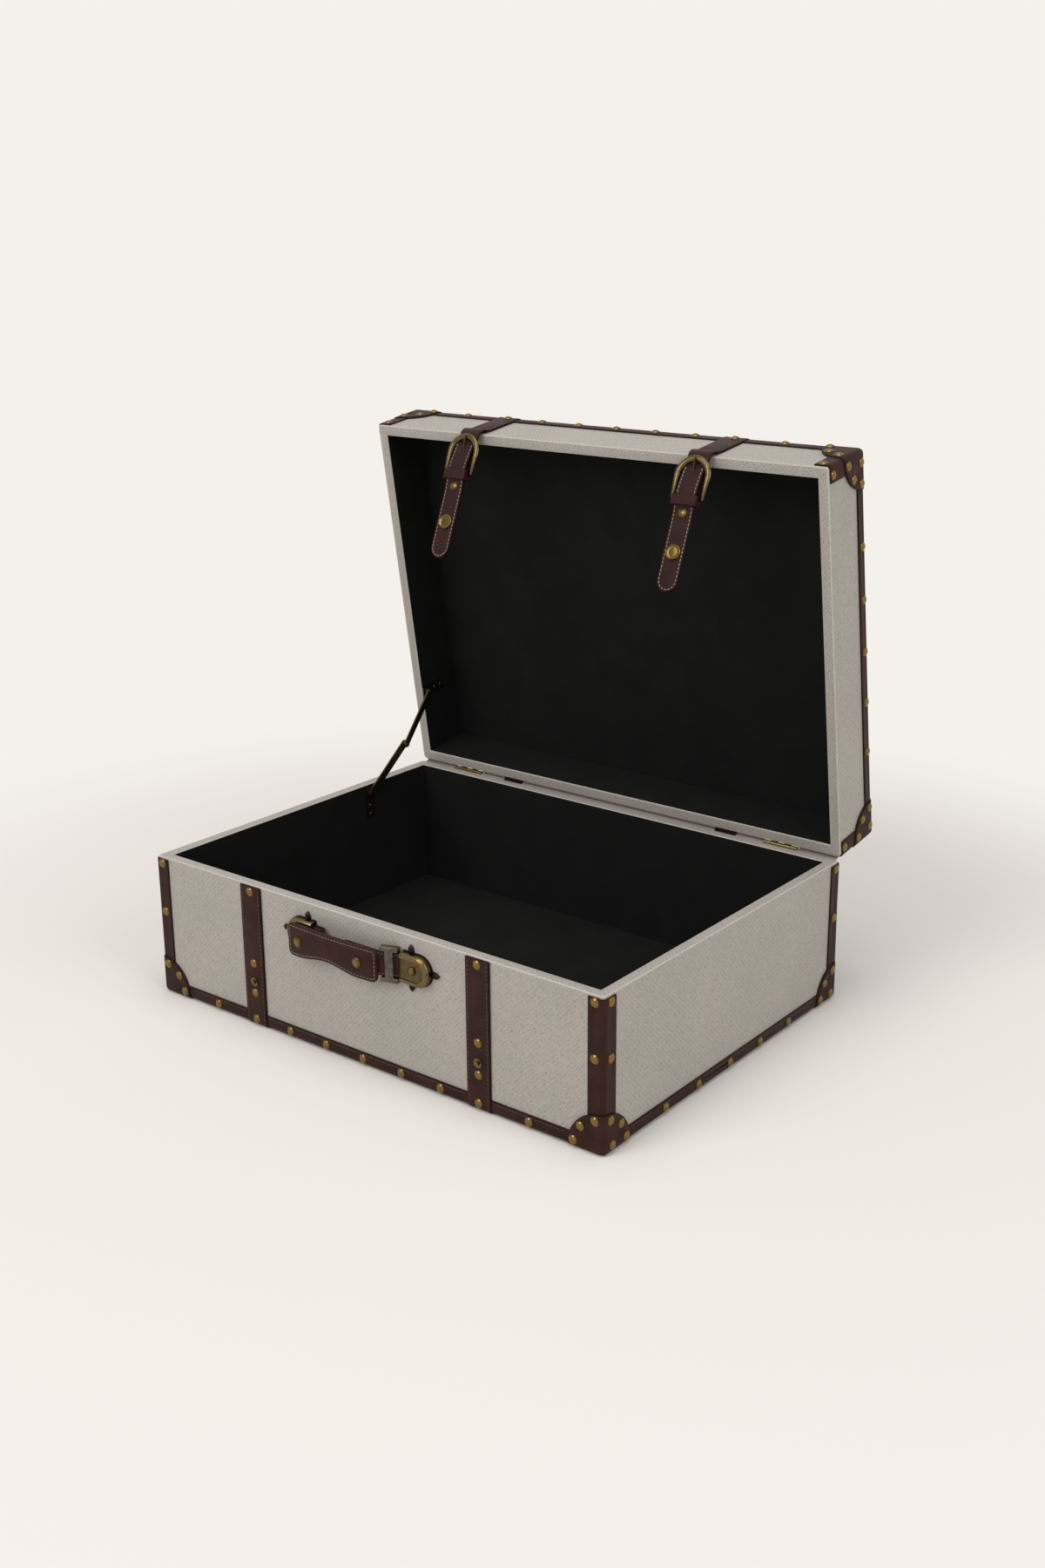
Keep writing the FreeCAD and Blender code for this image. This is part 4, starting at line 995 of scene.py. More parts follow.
@dataclass
class Shell:
    """One half of the box: boards, covering, lining, leather trim, straps, nails and stitching."""

    half: Half
    leather_rounding: float = 0.55 * MM
    fold_radius: float = 0.9 * MM
    fold_steps: int = 3
    rim_reach: float = 0.01 * MM
    nail_radius: float = 4.7 * MM
    nail_height: float = 2.2 * MM
    nail_lip: float = 0.2 * MM
    nail_rings: int = 4
    nail_sides: int = 12
    # Nails darken towards their rims: tarnish and painted shade.
    nail_wear: Spot = (0.8, 1.15)
    corner_radius: float = 3.0 * MM
    corner_steps: int = 4
    strap_t: float = 2.4 * MM
    strap_half: float = 13.5 * MM
    strap_drop: float = 1.2 * MM
    strap_lift_start: float = 14.0 * MM
    trim_t: float = 1.6 * MM
    trim_leg: float = 12.0 * MM
    cap_reach: float = 41.0 * MM
    seam_inset: float = 2.5 * MM
    stitching: Stitching = Stitching()

    def __post_init__(self) -> None:
        """Find the covering's box with the lid closed."""
        self.body = self.half.value
        self.place = LID_SWING if self.half is Half.LID else Matrix.Identity(4)
        self.closed = self.place.inverted()
        corners = [self.closed @ vertex.co for vertex in frame["nodes"][self.node("cover")].data.vertices]
        self.low, self.high = Vector(map(min, *corners)), Vector(map(max, *corners))
        self.up = 1 if self.half is Half.BASE else -1
        self.face_z, self.rim_z = (self.low.z, self.high.z)[::self.up]

    def node(self, suffix: str) -> str:
        """Return the name of one of this half's solids."""
        return self.half.value + "_" + suffix

    def dress(self) -> None:
        """Give the boards, lining and screws their finishes."""
        board = "bottom_board" if self.half is Half.BASE else "top_board"
        boards = ("front_panel", "back_panel", "left_panel", "right_panel", board)
        dress_nodes(Finish.FIBREBOARD, *(self.node(name) for name in boards))
        dress_nodes(Finish.BLACK_LINING, self.node("lining"))
        dress_nodes(Finish.DARK_BRONZE, self.node("screws"))

    def build(self) -> None:
        """Fold the covering, soften the leather, lay the straps, sew the seams and seat the nails."""
        self.cover()
        for name in ("edge_trim", "corner_strips", "corner_caps"):
            softened(self.node(name), self.body, self.leather_rounding, Finish.LEATHER)
        seats = self.trim_seams()
        for side in Side:
            seats += self.strap(side)
        seams = self.stitching.sew(self.node("seams"), seats, Finish.DARK_THREAD)
        settle(seams, self.body, "leather")
        self.nails()

    def cover(self) -> None:
        """Copy the covering and round its two folds along the rim, in a lighter covering that paints the
        folds' highlight.
        """
        piece = cad_copy(self.node("cover"), self.node("cover_folded"))
        paint(piece, Finish["COVERING_" + self.half.name], Finish["WORN_FOLD_" + self.half.name])
        on_rim = [abs((self.closed @ vertex.co).z - self.rim_z) < self.rim_reach
                  for vertex in piece.data.vertices]
        owners: dict[tuple[int, int], list[Vector]] = {}
        for polygon in piece.data.polygons:
            for key in polygon.edge_keys:
                owners.setdefault(key, []).append(polygon.normal)
        folds = {key for key, normals in owners.items()
                 if len(normals) == 2 and normals[0].dot(normals[1]) < 0.5 and all(on_rim[v] for v in key)}
        with editing(piece, "EDGE"):
            pick(piece.data.edges, lambda edge: edge.key in folds)
            # The bevelled fold faces take slot 1, the lighter covering of the painted highlight.
            bpy.ops.mesh.bevel(offset=self.fold_radius, segments=self.fold_steps, affect="EDGES",
                               material=1)
        smooth(piece)
        settle(piece, self.body, "covering", self.node("cover"))

    def strap(self, side: Side) -> list[Matrix]:
        """Lay one strap round this half.

        Args:
            side: Which strap.

        Returns:
            The places of its stitches.
        """
        node = side.name.lower() + "_" + self.node("strap")
        raised = self.strap_t / 2
        x = side.value * STRAP_X
        first_drop = self.strap_drop if self.half is Half.BASE else self.strap_lift_start
        corner_z = self.face_z + self.up * self.corner_radius
        front = Vector((x, self.low.y + self.corner_radius, corner_z))
        back = Vector((x, self.high.y - self.corner_radius, corner_z))
        outwards = Vector((0, self.corner_radius + raised, 0))
        facewards = Vector((0, 0, -self.up * (self.corner_radius + raised)))
        points = [Vector((x, self.low.y - raised, self.rim_z - self.up * first_drop)),
                  *arc(front, -outwards, facewards, self.corner_steps),
                  *arc(back, facewards, outwards, self.corner_steps),
                  Vector((x, self.high.y + raised, self.rim_z - self.up * self.strap_drop))]
        course = Course([self.place @ point for point in points], Vector((-self.up, 0, 0)), 2)
        piece = strip(node + "_leather", course, course.band(self.strap_half), self.strap_t,
                      self.leather_rounding)
        settle(piece, self.body, "leather", node)
        return self.stitching.edge_seats(course, self.strap_half - self.seam_inset, self.seam_inset, raised)

    def trim_seams(self) -> list[Matrix]:
        """Space stitches along the edge trim, between the caps and the straps.

        Returns:
            The place of each stitch.
        """
        level = self.face_z + self.up * (self.trim_leg - self.seam_inset)
        reach_x, reach_y = self.high.x - self.cap_reach, self.high.y - self.cap_reach
        near = STRAP_X - self.strap_half - self.seam_inset
        far = STRAP_X + self.strap_half + self.seam_inset
        long_runs = [(-reach_x, -far), (-near, near), (far, reach_x)]
        short_runs = [(-reach_y, reach_y)]
        across = self.place.to_3x3() @ DOWN
        seats = []
        for turn, wall, runs in ((0, -self.low.y, long_runs), (1, self.high.x, short_runs),
                                 (2, self.high.y, long_runs), (3, -self.low.x, short_runs)):
            spun = self.place @ Matrix.Rotation(turn * math.pi / 2, 4, "Z")
            for ends in runs:
                course = Course([spun @ Vector((x, -wall, level)) for x in ends], across, 1)
                seats += self.stitching.seats(course, [(0, 0), (0, course.length)], self.trim_t)
        return seats

    def nails(self) -> None:
        """Seat a nail wherever the solids have one."""
        node = self.node("nails")
        probe = cad_copy(node, node + "_probe")
        boxes = islands(probe.data, self.closed)
        bpy.data.objects.remove(probe)
        places = []
        for low, high in boxes:
            middle = (low + high) / 2
            for axis in (0, 1):
                for way, past, tip in ((-1, self.low[axis] - low[axis], low[axis]),
                                       (1, high[axis] - self.high[axis], high[axis])):
                    if past > self.nail_height / 2:
                        normal = Vector((0, 0, 0))
                        normal[axis] = way
                        middle[axis] = tip - way * self.nail_height
                        places.append(self.place @ seat_matrix(middle, normal))
        profile = button_profile(self.nail_radius, self.nail_height, self.nail_lip, self.nail_rings)
        model = turned("nail_model", profile, self.nail_sides, self.nail_wear)
        piece = scattered(node + "_domed", model, places, Finish.NAIL_BRASS)
        settle(piece, self.body, "brass", node)


@dataclass
class FrontStrap:
    """Strap end, buckle and tongue of one side.

    Spots are in millimetres: out from the closed front, and down from the lid's rim. Profiles of buttons
    are in millimetres too, and that of the prong in shares of its radius and length.
    """

    side: Side
    lid: Shell
    buckle_lean: float = 28.0
    tongue_lean: float = 22.0
    fold: Spot = (4.4, 0.5)
    bar: Spot = (6.6, 49.0)
    arch: Spot = (10.4, 11.0)
    arch_over: float = 1.1 * MM
    arch_half: float = 17.5 * MM
    arch_steps: int = 28
    foot_half: float = 16.9 * MM
    foot_share: float = 0.6
    foot_tip: float = 1.1 * MM
    bar_radius: float = 1.5 * MM
    bar_sides: int = 16
    band_half: float = 3.1 * MM
    band_depth: float = 1.75 * MM
    band_sides: int = 12
    prong_root: Spot = (8.6, 25.0)
    prong_tip: Spot = (13.3, 9.0)
    prong_radius: float = 1.25 * MM
    prong_sides: int = 12
    prong_profile: tuple[Spot, ...] = ((0, 0), (1, 0), (1, 0.7), (0.9, 0.92), (0.5, 1), (0, 1))
    end_on_lid: tuple[Spot, ...] = ((1.2, -14.0), (2.4, -8.0), (4.0, -3.0))
    end_on_buckle: tuple[Spot, ...] = (
        (5.4, 3.0), (6.2, 8.0), (6.0, 13.0), (5.0, 21.0), (4.4, 32.0), (4.1, 44.0),
        (4.1, 49.0), (4.83, 50.77), (6.6, 51.5), (8.1, 51.0))
    end_bend: tuple[Spot, Spot] = ((3.4, -5.0), (5.6, 4.5))
    end_t: float = 2.0 * MM
    end_half: float = 12.0 * MM
    end_taper: Spot = (12.0 * MM, 27.0 * MM)
    end_rounding: float = 0.5 * MM
    tongue_on_buckle: tuple[Spot, ...] = ((7.8, 16.5), (9.0, 28.0), (9.8, 40.0))
    tongue_free: tuple[Spot, ...] = (
        (9.6, 51.0), (7.8, 59.0), (6.8, 67.0), (6.6, 77.0), (6.6, 109.0), (6.6, 141.0))
    tongue_bend: tuple[Spot, Spot] = ((9.8, 42.0), (9.0, 55.0))
    tongue_half: float = 11.75 * MM
    tongue_t: float = 2.8 * MM
    tongue_shoulder: float = 1.2 * MM
    tongue_rounding: float = 0.7 * MM
    tongue_seam: float = 2.2 * MM
    keeper_rounding: float = 0.5 * MM
    button_sides: int = 28
    rivet_drop: float = 64.0
    # The rivet darkens towards its rim: tarnish and painted shade.
    rivet_wear: Spot = (0.5, 0.95)
    rivet_profile: tuple[Spot, ...] = (
        (0, -2.9), (2.0, -2.9), (2.0, 0.0), (4.9, 0), (5.1, 0.5), (4.7, 1.0), (4.1, 0.95), (3.4, 1.35),
        (1.8, 1.8), (0, 1.95))
    snap_drop: float = 102.1
    # The snap darkens towards its centre, its rolled rim left bright: tarnish and painted shade.
    snap_wear: Spot = (0.95, -0.9)
    snap_profile: tuple[Spot, ...] = (
        (0, -3.9), (2.6, -3.9), (2.6, -4.7), (5.0, -4.7), (5.0, -2.9), (2.0, -2.9), (2.0, 0.0), (7.7, 0),
        (8.1, 0.6), (8.0, 1.2), (7.4, 1.7), (6.7, 1.5), (6.2, 1.15), (4.4, 1.3), (2.2, 1.42), (0, 1.46))
    stitching: Stitching = Stitching(3.9 * MM)

    def __post_init__(self) -> None:
        """Find the strap's fold and the buckle's bar, on the strap's own middle."""
        self.x = self.side.value * STRAP_X
        self.fold_place = Vector(JOINTS[self.node("strap_fold")]["pos_m"])
        self.bar_place = Vector(JOINTS[self.node("tongue_swing")]["pos_m"])
        self.bar_place.x = self.fold_place.x = self.x

    def node(self, suffix: str) -> str:
        """Return the name of one of this side's solids or bodies."""
        return self.side.name.lower() + "_" + suffix

    def on_lid(self, out: float, drop: float) -> Vector:
        """Return a place that moves with the lid."""
        return LID_SWING @ Vector((self.x, self.lid.low.y - out * MM, self.lid.low.z - drop * MM))

    def hung(self, lean: float, pivot: Vector, origin: Spot, out: float, drop: float) -> Vector:
        """Return a place that hangs from a pivot at a lean."""
        arm = Vector((0, (origin[0] - out) * MM, (origin[1] - drop) * MM))
        return pivot + Matrix.Rotation(-math.radians(lean), 3, "X") @ arm

    def on_buckle(self, out: float, drop: float) -> Vector:
        """Return a place that moves with the buckle."""
        return self.hung(self.buckle_lean, self.fold_place, self.fold, out, drop)

    def on_tongue(self, out: float, drop: float) -> Vector:
        """Return a place that moves with the tongue."""
        return self.hung(self.tongue_lean, self.bar_place, self.bar, out, drop)

    def build(self) -> None:
        """Make the strap end, buckle, prong, tongue, keeper, rivet and snap."""
        self.strap_end()
        self.buckle()
        self.prong()
        self.tongue()
        softened(self.node("keeper"), self.node("tongue"), self.keeper_rounding, Finish.RED_LEATHER)
        self.buttons()

    def strap_end(self) -> None:
        """Lay the strap's last stretch over the lid's rim, under the buckle's arch and round its bar."""
        points = [self.on_lid(*spot) for spot in self.end_on_lid]
        points += [self.on_buckle(*spot) for spot in self.end_on_buckle]
        course = Course(points, LEFTWARDS, 3)
        start, stop = self.end_taper
        shares = [min(max((mark - start) / (stop - start), 0), 1) for mark in course.marks]
        wide = self.lid.strap_half
        outline = [(mark, wide + (self.end_half - wide) * share)
                   for mark, share in zip(course.marks, shares)]
        node = self.node("strap_end")
        piece = strip(node + "_leather", course, outline, self.end_t, self.end_rounding)
        ends = self.on_lid(*self.end_bend[0]), self.on_buckle(*self.end_bend[1])
        bend(piece, ("lid", self.node("buckle")), ends, "leather", node)

    def buckle(self) -> None:
        """Spin an oval section round the arch, draw it down to the feet and set the bar between them."""
        rise, lean = self.bar[1] - self.arch[1], self.arch[0] - self.bar[0]
        centre_z = math.hypot(rise, lean) * MM + self.arch_over - self.arch_half
        piece = new_piece(self.node("buckle_frame_brass"), bpy.ops.mesh.primitive_circle_add,
                          vertices=self.band_sides, radius=1.0, fill_type="NOTHING")
        shrink = (self.foot_share, self.foot_share, 1)
        with editing(piece, "VERT"):
            bpy.ops.transform.resize(value=(self.band_half, self.band_depth, 1))
            bpy.ops.transform.translate(value=(self.arch_half, 0, centre_z))
            bpy.ops.mesh.spin(steps=self.arch_steps, angle=math.pi, center=(0, 0, centre_z), axis=(0, 1, 0))
            for way in (1, -1):
                pick(piece.data.vertices,
                     lambda vertex: abs(vertex.co.z - centre_z) < MERGE and vertex.co.x * way > 0)
                to_foot = (way * (self.foot_half - self.arch_half), 0, -centre_z)
                for draw in (to_foot, (0, 0, -self.foot_tip)):
                    bpy.ops.mesh.extrude_region_move(TRANSFORM_OT_translate={"value": draw})
                    bpy.ops.transform.resize(value=shrink)
                bpy.ops.mesh.edge_face_add()
            face_outwards(merge=True)
            bpy.ops.mesh.primitive_cylinder_add(vertices=self.bar_sides, radius=self.bar_radius,
                                                depth=2 * self.foot_half, rotation=(0, math.pi / 2, 0))
        smooth(piece, ROUND_ANGLE)
        tilt = math.radians(self.buckle_lean) - math.atan2(lean, rise)
        place_mesh(piece, Matrix.Translation(self.bar_place) @ Matrix.Rotation(-tilt, 4, "X"))
        paint(piece, Finish.BUCKLE_BRASS)
        settle(piece, self.node("buckle"), "brass", self.node("buckle_frame"))

    def prong(self) -> None:
        """Turn the prong's tip, which comes through the tongue and rests on the arch."""
        root, tip = self.on_buckle(*self.prong_root), self.on_buckle(*self.prong_tip)
        profile = scaled(self.prong_profile, self.prong_radius, (tip - root).length)
        piece = turned(self.node("buckle_prong_tip"), profile, self.prong_sides)
        place_mesh(piece, seat_matrix(root, tip - root))
        paint(piece, Finish.BUCKLE_BRASS)
        settle(piece, self.node("buckle"), "brass", self.node("buckle_prong"))

    def tongue(self) -> None:
        """Lay the tongue from the arch over the bar to its round tip, and sew its edge."""
        points = [self.on_buckle(*spot) for spot in self.tongue_on_buckle]
        points += [self.on_tongue(*spot) for spot in self.tongue_free]
        course = Course(points, LEFTWARDS, 4)
        half = self.tongue_half
        tip_start = course.length - half
        outline = [(0.0, half - self.tongue_shoulder)]
        outline += [(mark, half) for mark in course.marks[1:] if mark < tip_start - MM]
        turns = [math.radians(angle) for angle in range(0, 90, 9)]
        outline += [(tip_start + half * math.sin(a), half * math.cos(a)) for a in turns]
        node = self.node("tongue")
        piece = strip(node + "_leather", course, outline, self.tongue_t, self.tongue_rounding,
                      Finish.TONGUE_LEATHER)
        inner = half - self.tongue_seam
        turns = [math.pi * step / 16 for step in range(17)]
        tip = [(inner * math.cos(a), tip_start + inner * math.sin(a)) for a in turns]
        row = [(inner, self.tongue_seam), *tip, (-inner, self.tongue_seam)]
        seats = self.stitching.seats(course, row, self.tongue_t / 2)
        seam = self.stitching.sew(node + "_seam", seats, Finish.THREAD)
        ends = self.on_buckle(*self.tongue_bend[0]), self.on_tongue(*self.tongue_bend[1])
        bodies = self.node("buckle"), self.node("tongue")
        bend(piece, bodies, ends, "leather", node)
        bend(seam, bodies, ends, "leather")

    def buttons(self) -> None:
        """Turn the tongue's rivet, and its snap with a rolled rim and the socket behind."""
        outwards = Matrix.Rotation(-math.radians(self.tongue_lean), 3, "X") @ FORWARD
        face = self.bar[0] + self.tongue_t / MM / 2
        kinds = (("tongue_rivet", self.rivet_profile, self.rivet_drop, self.rivet_wear),
                 ("snap_cap", self.snap_profile, self.snap_drop, self.snap_wear))
        for kind, profile, drop, worn in kinds:
            piece = turned(self.node(kind + "_brass"), scaled(profile), self.button_sides, worn)
            place_mesh(piece, seat_matrix(self.on_tongue(face, drop), outwards))
            paint(piece, Finish.SNAP_BRASS)
            settle(piece, self.node("tongue"), "brass", self.node(kind))


@dataclass
class Handle:
    """The carrying handle on the front.

    Places along the front, and out from it, are in millimetres, and so are the grip's outline, steps and
    cuts.
    """

    front_y: float
    centre_z: float = 118.5 * MM
    tab_half: float = 12.0 * MM
    tab_t: float = 2.6 * MM
    tab_rounding: float = 0.6 * MM
    tab_seam: float = 2.2 * MM
    tab_low: float = 2.5
    tab_high: float = 9.8
    turn_x: float = 46.0
    left_root_xs: tuple[float, ...] = (-82.0, -60.0)
    left_end_xs: tuple[float, ...] = (-60.0, -74.0)
    left_bend_outs: Spot = (3.8, 8.5)
    right_root_xs: tuple[float, ...] = (82.0, 62.0, 54.5)
    right_rise: tuple[Spot, ...] = ((50.0, 3.9), (37.0, 8.4))
    right_end_xs: tuple[float, ...] = (32.0, 20.0, -9.0)
    right_bend_xs: Spot = (34.0, 14.0)
    grip_left: float = -80.0
    grip_right: float = 33.6
    grip_half: float = 16.5
    grip_z: float = 115.5 * MM
    grip_corner: float = 6.0
    least_corner: float = 2.0
    grip_waist: float = 5.5
    waist_middle: float = 51.0
    waist_reach: float = 40.0
    grip_wall: float = 2.1 * MM
    grip_steps: tuple[Spot, ...] = (
        (0.35, 0.45), (0.6, 0.3), (1.3, 0.05), (0.45, -0.4), (0.5, 0.1), (0.6, 0.75), (0.8, 0.35))
    cuts_along: tuple[float, float, float] = (5.0, 110.0, 4.5)
    cuts_across: tuple[float, float, float] = (-9.6, 9.7, 3.2)
    crown: float = 0.9 * MM
    crown_half: float = 12.5 * MM
    crown_margin: float = 0.1 * MM
    seat_out: float = 11.3
    bow: float = 2.6
    groove_inset: float = 2.75
    groove_lift: float = 2.55 * MM
    rivet_sides: int = 24
    grip_rivet: tuple[float, float, float] = (5.6 * MM, 2.6 * MM, 0.6 * MM)
    grip_rivet_xs: Spot = (-64.0, 12.0)
    grip_rivet_lift: float = 4.3 * MM
    cap_rivet: tuple[float, float, float] = (4.4 * MM, 2.2 * MM, 0.5 * MM)
    cap_rivet_x: float = 70.0
    cap_rounding: float = 0.35 * MM
    dish_out: float = 6.4
    dish_reach: float = 0.5
    slider_rounding: float = 0.5 * MM
    rail_start: float = 13.0 * MM
    knob_profile: tuple[Spot, ...] = (
        (0, -3.4), (1.7, -2.9), (2.9, -1.5), (3.3, 0.4), (2.7, 2.2), (1.2, 4.0), (0, 5.2))
    knob_sides: int = 14
    knob_flat: float = 0.6
    knob_out: float = 1.4
    knob_x: float = 65.5
    knob_rise: float = 18.2 * MM
    tip_knob_x: float = 94.2
    stitching: Stitching = Stitching(4.0 * MM, width=1.35 * MM, height=0.9 * MM)

    def spot(self, x: float, out: float, z: float) -> Vector:
        """Return a place in front of the box."""
        return Vector((x * MM, self.front_y - out * MM, z))

    def dress(self) -> None:
        """Give the end plates their finish."""
        dress_nodes(Finish.DARK_BRONZE, "handle_end_plates")

    def build(self) -> None:
        """Make the tabs, grip, caps, slider, rivets and knobs."""
        self.left_tab()
        self.right_tab()
        self.grip()
        self.caps()
        self.slider()
        dishes = [self.spot(side.value * self.cap_rivet_x, self.dish_out, self.centre_z) for side in Side]
        seats = [seat_matrix(dish, FORWARD) for dish in dishes]
        self.rivets("handle_cap_rivets", "base", self.cap_rivet, seats)
        self.knobs()

    def tab(self, node: str, course: Course, ends: Sequence[Vector]) -> None:
        """Lay one leather tab and sew its edges, free to bend between the box and the grip.

        Args:
            node: The solid that it stands for.
            course: The line that it follows.
            ends: Where it leaves the box, and where it joins the grip.
        """
        piece = strip(node + "_leather", course, course.band(self.tab_half), self.tab_t, self.tab_rounding)
        seats = self.stitching.edge_seats(course, self.tab_half - self.tab_seam, 0, self.tab_t / 2)
        seam = self.stitching.sew(node + "_seam", seats, Finish.DARK_THREAD)
        bend(piece, ("base", "handle"), ends, "leather", node)
        bend(seam, ("base", "handle"), ends, "leather")

    def left_tab(self) -> None:
        """Fold the left tab back on itself, from its cap to the grip's left rivet."""
        middle, turn = (self.tab_low + self.tab_high) / 2, (self.tab_high - self.tab_low) / 2
        angles = [math.radians(angle) for angle in range(-90, 91, 30)]
        path = [(x, self.tab_low) for x in self.left_root_xs]
        path += [(-self.turn_x + turn * math.cos(a), middle + turn * math.sin(a)) for a in angles]
        path += [(x, self.tab_high) for x in self.left_end_xs]
        course = Course([self.spot(x, out, self.centre_z) for x, out in path], DOWN, 3)
        ends = [self.spot(-self.turn_x, out, self.centre_z) for out in self.left_bend_outs]
        self.tab("handle_left_tab", course, ends)

    def right_tab(self) -> None:
        """Lead the right tab out of its cap, up through the slider and under the grip."""
        path = [(x, self.tab_low) for x in self.right_root_xs]
        path += [*self.right_rise, *((x, self.tab_high) for x in self.right_end_xs)]
        course = Course([self.spot(x, out, self.centre_z) for x, out in path], -DOWN, 4)
        ends = [self.spot(x, self.tab_high, self.centre_z) for x in self.right_bend_xs]
        self.tab("handle_right_tab", course, ends)

    def grip_outline(self, inset: float) -> list[Spot]:
        """Draw the grip's outline as distances down from its middle and along from its left end.

        Args:
            inset: How far the outline lies inside the edge.

        Returns:
            The points in metres, round the outline once.
        """
        corner = max(self.grip_corner - inset, self.least_corner)
        top = self.grip_half - inset
        left, right = inset + corner, self.grip_right - self.grip_left - inset - corner
        quarter = [math.radians(angle) for angle in range(0, 91, 15)]

        def lower(along: float) -> float:
            """Return the lower edge with its waist."""
            away = min(abs(along - self.waist_middle) / self.waist_reach, 1.0)
            return top - self.grip_waist * (0.5 + 0.5 * math.cos(math.pi * away))

        run = np.linspace(left, right, 24)
        points = [(-top, along) for along in run[1:-1]]
        points += [(-top + corner - corner * math.cos(a), right + corner * math.sin(a)) for a in quarter]
        points += [(lower(right) - corner + corner * math.sin(a), right + corner * math.cos(a))
                   for a in quarter]
        points += [(lower(along), along) for along in run[-2:0:-1]]
        points += [(lower(left) - corner + corner * math.cos(a), left - corner * math.sin(a))
                   for a in quarter]
        points += [(-top + corner - corner * math.sin(a), left - corner * math.cos(a)) for a in quarter]
        return scaled(points)

    def flat_grip(self) -> bpy.types.Object:
        """Model the grip flat, with a sewn border and a crowned pad.

        Returns:
            The new object: X down from the grip's middle, Y along from its left end, Z outwards.
        """
        outline = self.grip_outline(0.0)
        piece = new_piece("handle_grip_padded", bpy.ops.mesh.primitive_circle_add,
                          vertices=len(outline), radius=1.0, fill_type="NGON")
        paint(piece, Finish.LEATHER, Finish.LEATHER_EDGE)
        for vertex, (aside, along) in zip(piece.data.vertices, outline):
            vertex.co = (aside, along, 0)
        with editing(piece):
            bpy.ops.mesh.normals_make_consistent(inside=False)
            bpy.ops.mesh.extrude_region_move(TRANSFORM_OT_translate={"value": (0, 0, self.grip_wall)})
            for inset, rise in self.grip_steps:
                bpy.ops.mesh.inset(thickness=inset * MM, depth=0)
                bpy.ops.transform.translate(value=(0, 0, rise * MM))
            for normal, cuts in (((0, 1, 0), self.cuts_along), ((1, 0, 0), self.cuts_across)):
                for cut in np.arange(*cuts):
                    bpy.ops.mesh.select_all(action="SELECT")
                    bpy.ops.mesh.bisect(plane_co=[part * cut * MM for part in normal], plane_no=normal)
            face_outwards()
        pad = max(vertex.co.z for vertex in piece.data.vertices) - self.crown_margin
        length = (self.grip_right - self.grip_left) * MM
        for vertex in piece.data.vertices:
            if vertex.co.z > pad:
                over = 1 - (vertex.co.x / self.crown_half) ** 2
                ends = 1 - (2 * vertex.co.y / length - 1) ** 6
                vertex.co.z += self.crown * max(over, 0) * max(ends, 0)
        return piece

    def grip(self) -> None:
        """Bow the grip over the tabs, sew its border and set its rivets."""
        piece = self.flat_grip()
        middle, half = (self.grip_left + self.grip_right) / 2, (self.grip_right - self.grip_left) / 2
        line = [(x, self.seat_out + self.bow * (1 - ((x - middle) / half) ** 2))
                for x in np.linspace(self.grip_left, self.grip_right, 9)]
        course = Course([self.spot(x, out, self.grip_z) for x, out in line], DOWN, 4)
        course.lay(piece)
        settle(piece, "handle", "leather", "handle_grip")
        groove = self.grip_outline(self.groove_inset)
        seats = self.stitching.seats(course, groove + groove[:1], self.groove_lift)
        seam = self.stitching.sew("handle_grip_seam", seats, Finish.THREAD)
        settle(seam, "handle", "leather")
        seats = [course.seat((x - self.grip_left) * MM, 0, self.grip_rivet_lift)
                 for x in self.grip_rivet_xs]
        self.rivets("handle_grip_rivets", "handle", self.grip_rivet, seats)

    def rivets(self, node: str, body: str, sizes: tuple[float, float, float],
               seats: Sequence[Matrix]) -> None:
        """Set domed rivets of one size.

        Args:
            node: The solids that they stand for.
            body: The body that carries them.
            sizes: Radius, height and lip of a head.
            seats: Where they go.
        """
        model = turned(node + "_model", button_profile(*sizes), self.rivet_sides)
        piece = scattered(node + "_domed", model, seats, Finish.NAIL_BRASS)
        settle(piece, body, "brass", node)

    def caps(self) -> None:
        """Copy the end caps, dull in their dishes, and round their edges."""
        piece = cad_copy("handle_end_caps", "handle_end_caps_brass")
        paint(piece, Finish.ANTIQUE_BRASS, Finish.DULL_BRASS)
        for polygon in piece.data.polygons:
            out = (self.front_y - polygon.center.y) / MM
            in_dish = polygon.normal.y < -0.9 and out < self.dish_out + self.dish_reach
            polygon.material_index = int(in_dish)
        round_edges(piece, self.cap_rounding)
        settle(piece, "base", "brass", "handle_end_caps")

    def slider(self) -> None:
        """Copy the slider, with steel between its rails, and round its edges."""
        piece = cad_copy("handle_slider", "handle_slider_brass")
        paint(piece, Finish.ANTIQUE_BRASS, Finish.WORN_STEEL)
        round_edges(piece, self.slider_rounding, 3)
        for polygon in piece.data.polygons:
            polygon.material_index = int(abs(polygon.center.z - self.centre_z) < self.rail_start)
        settle(piece, "base", "brass", "handle_slider")

    def knobs(self) -> None:
        """Turn a flattened knob and set three round each end plate."""
        model = turned("knob_model", scaled(self.knob_profile), self.knob_sides)
        model.data.transform(Matrix.Diagonal((self.knob_flat, 1, 1, 1)))
        places = []
        for side in Side:
            for x, rise, way in ((self.knob_x, self.knob_rise, -DOWN), (self.knob_x, -self.knob_rise, DOWN),
                                 (self.tip_knob_x, 0.0, Vector((side.value, 0, 0)))):
                spot = self.spot(side.value * x, self.knob_out, self.centre_z + rise)
                places.append(seat_matrix(spot, way, FORWARD))
        piece = scattered("handle_plate_knobs", model, places, Finish.DARK_BRONZE)
        settle(piece, "base", "dark_metal", "handle_plate_pins")


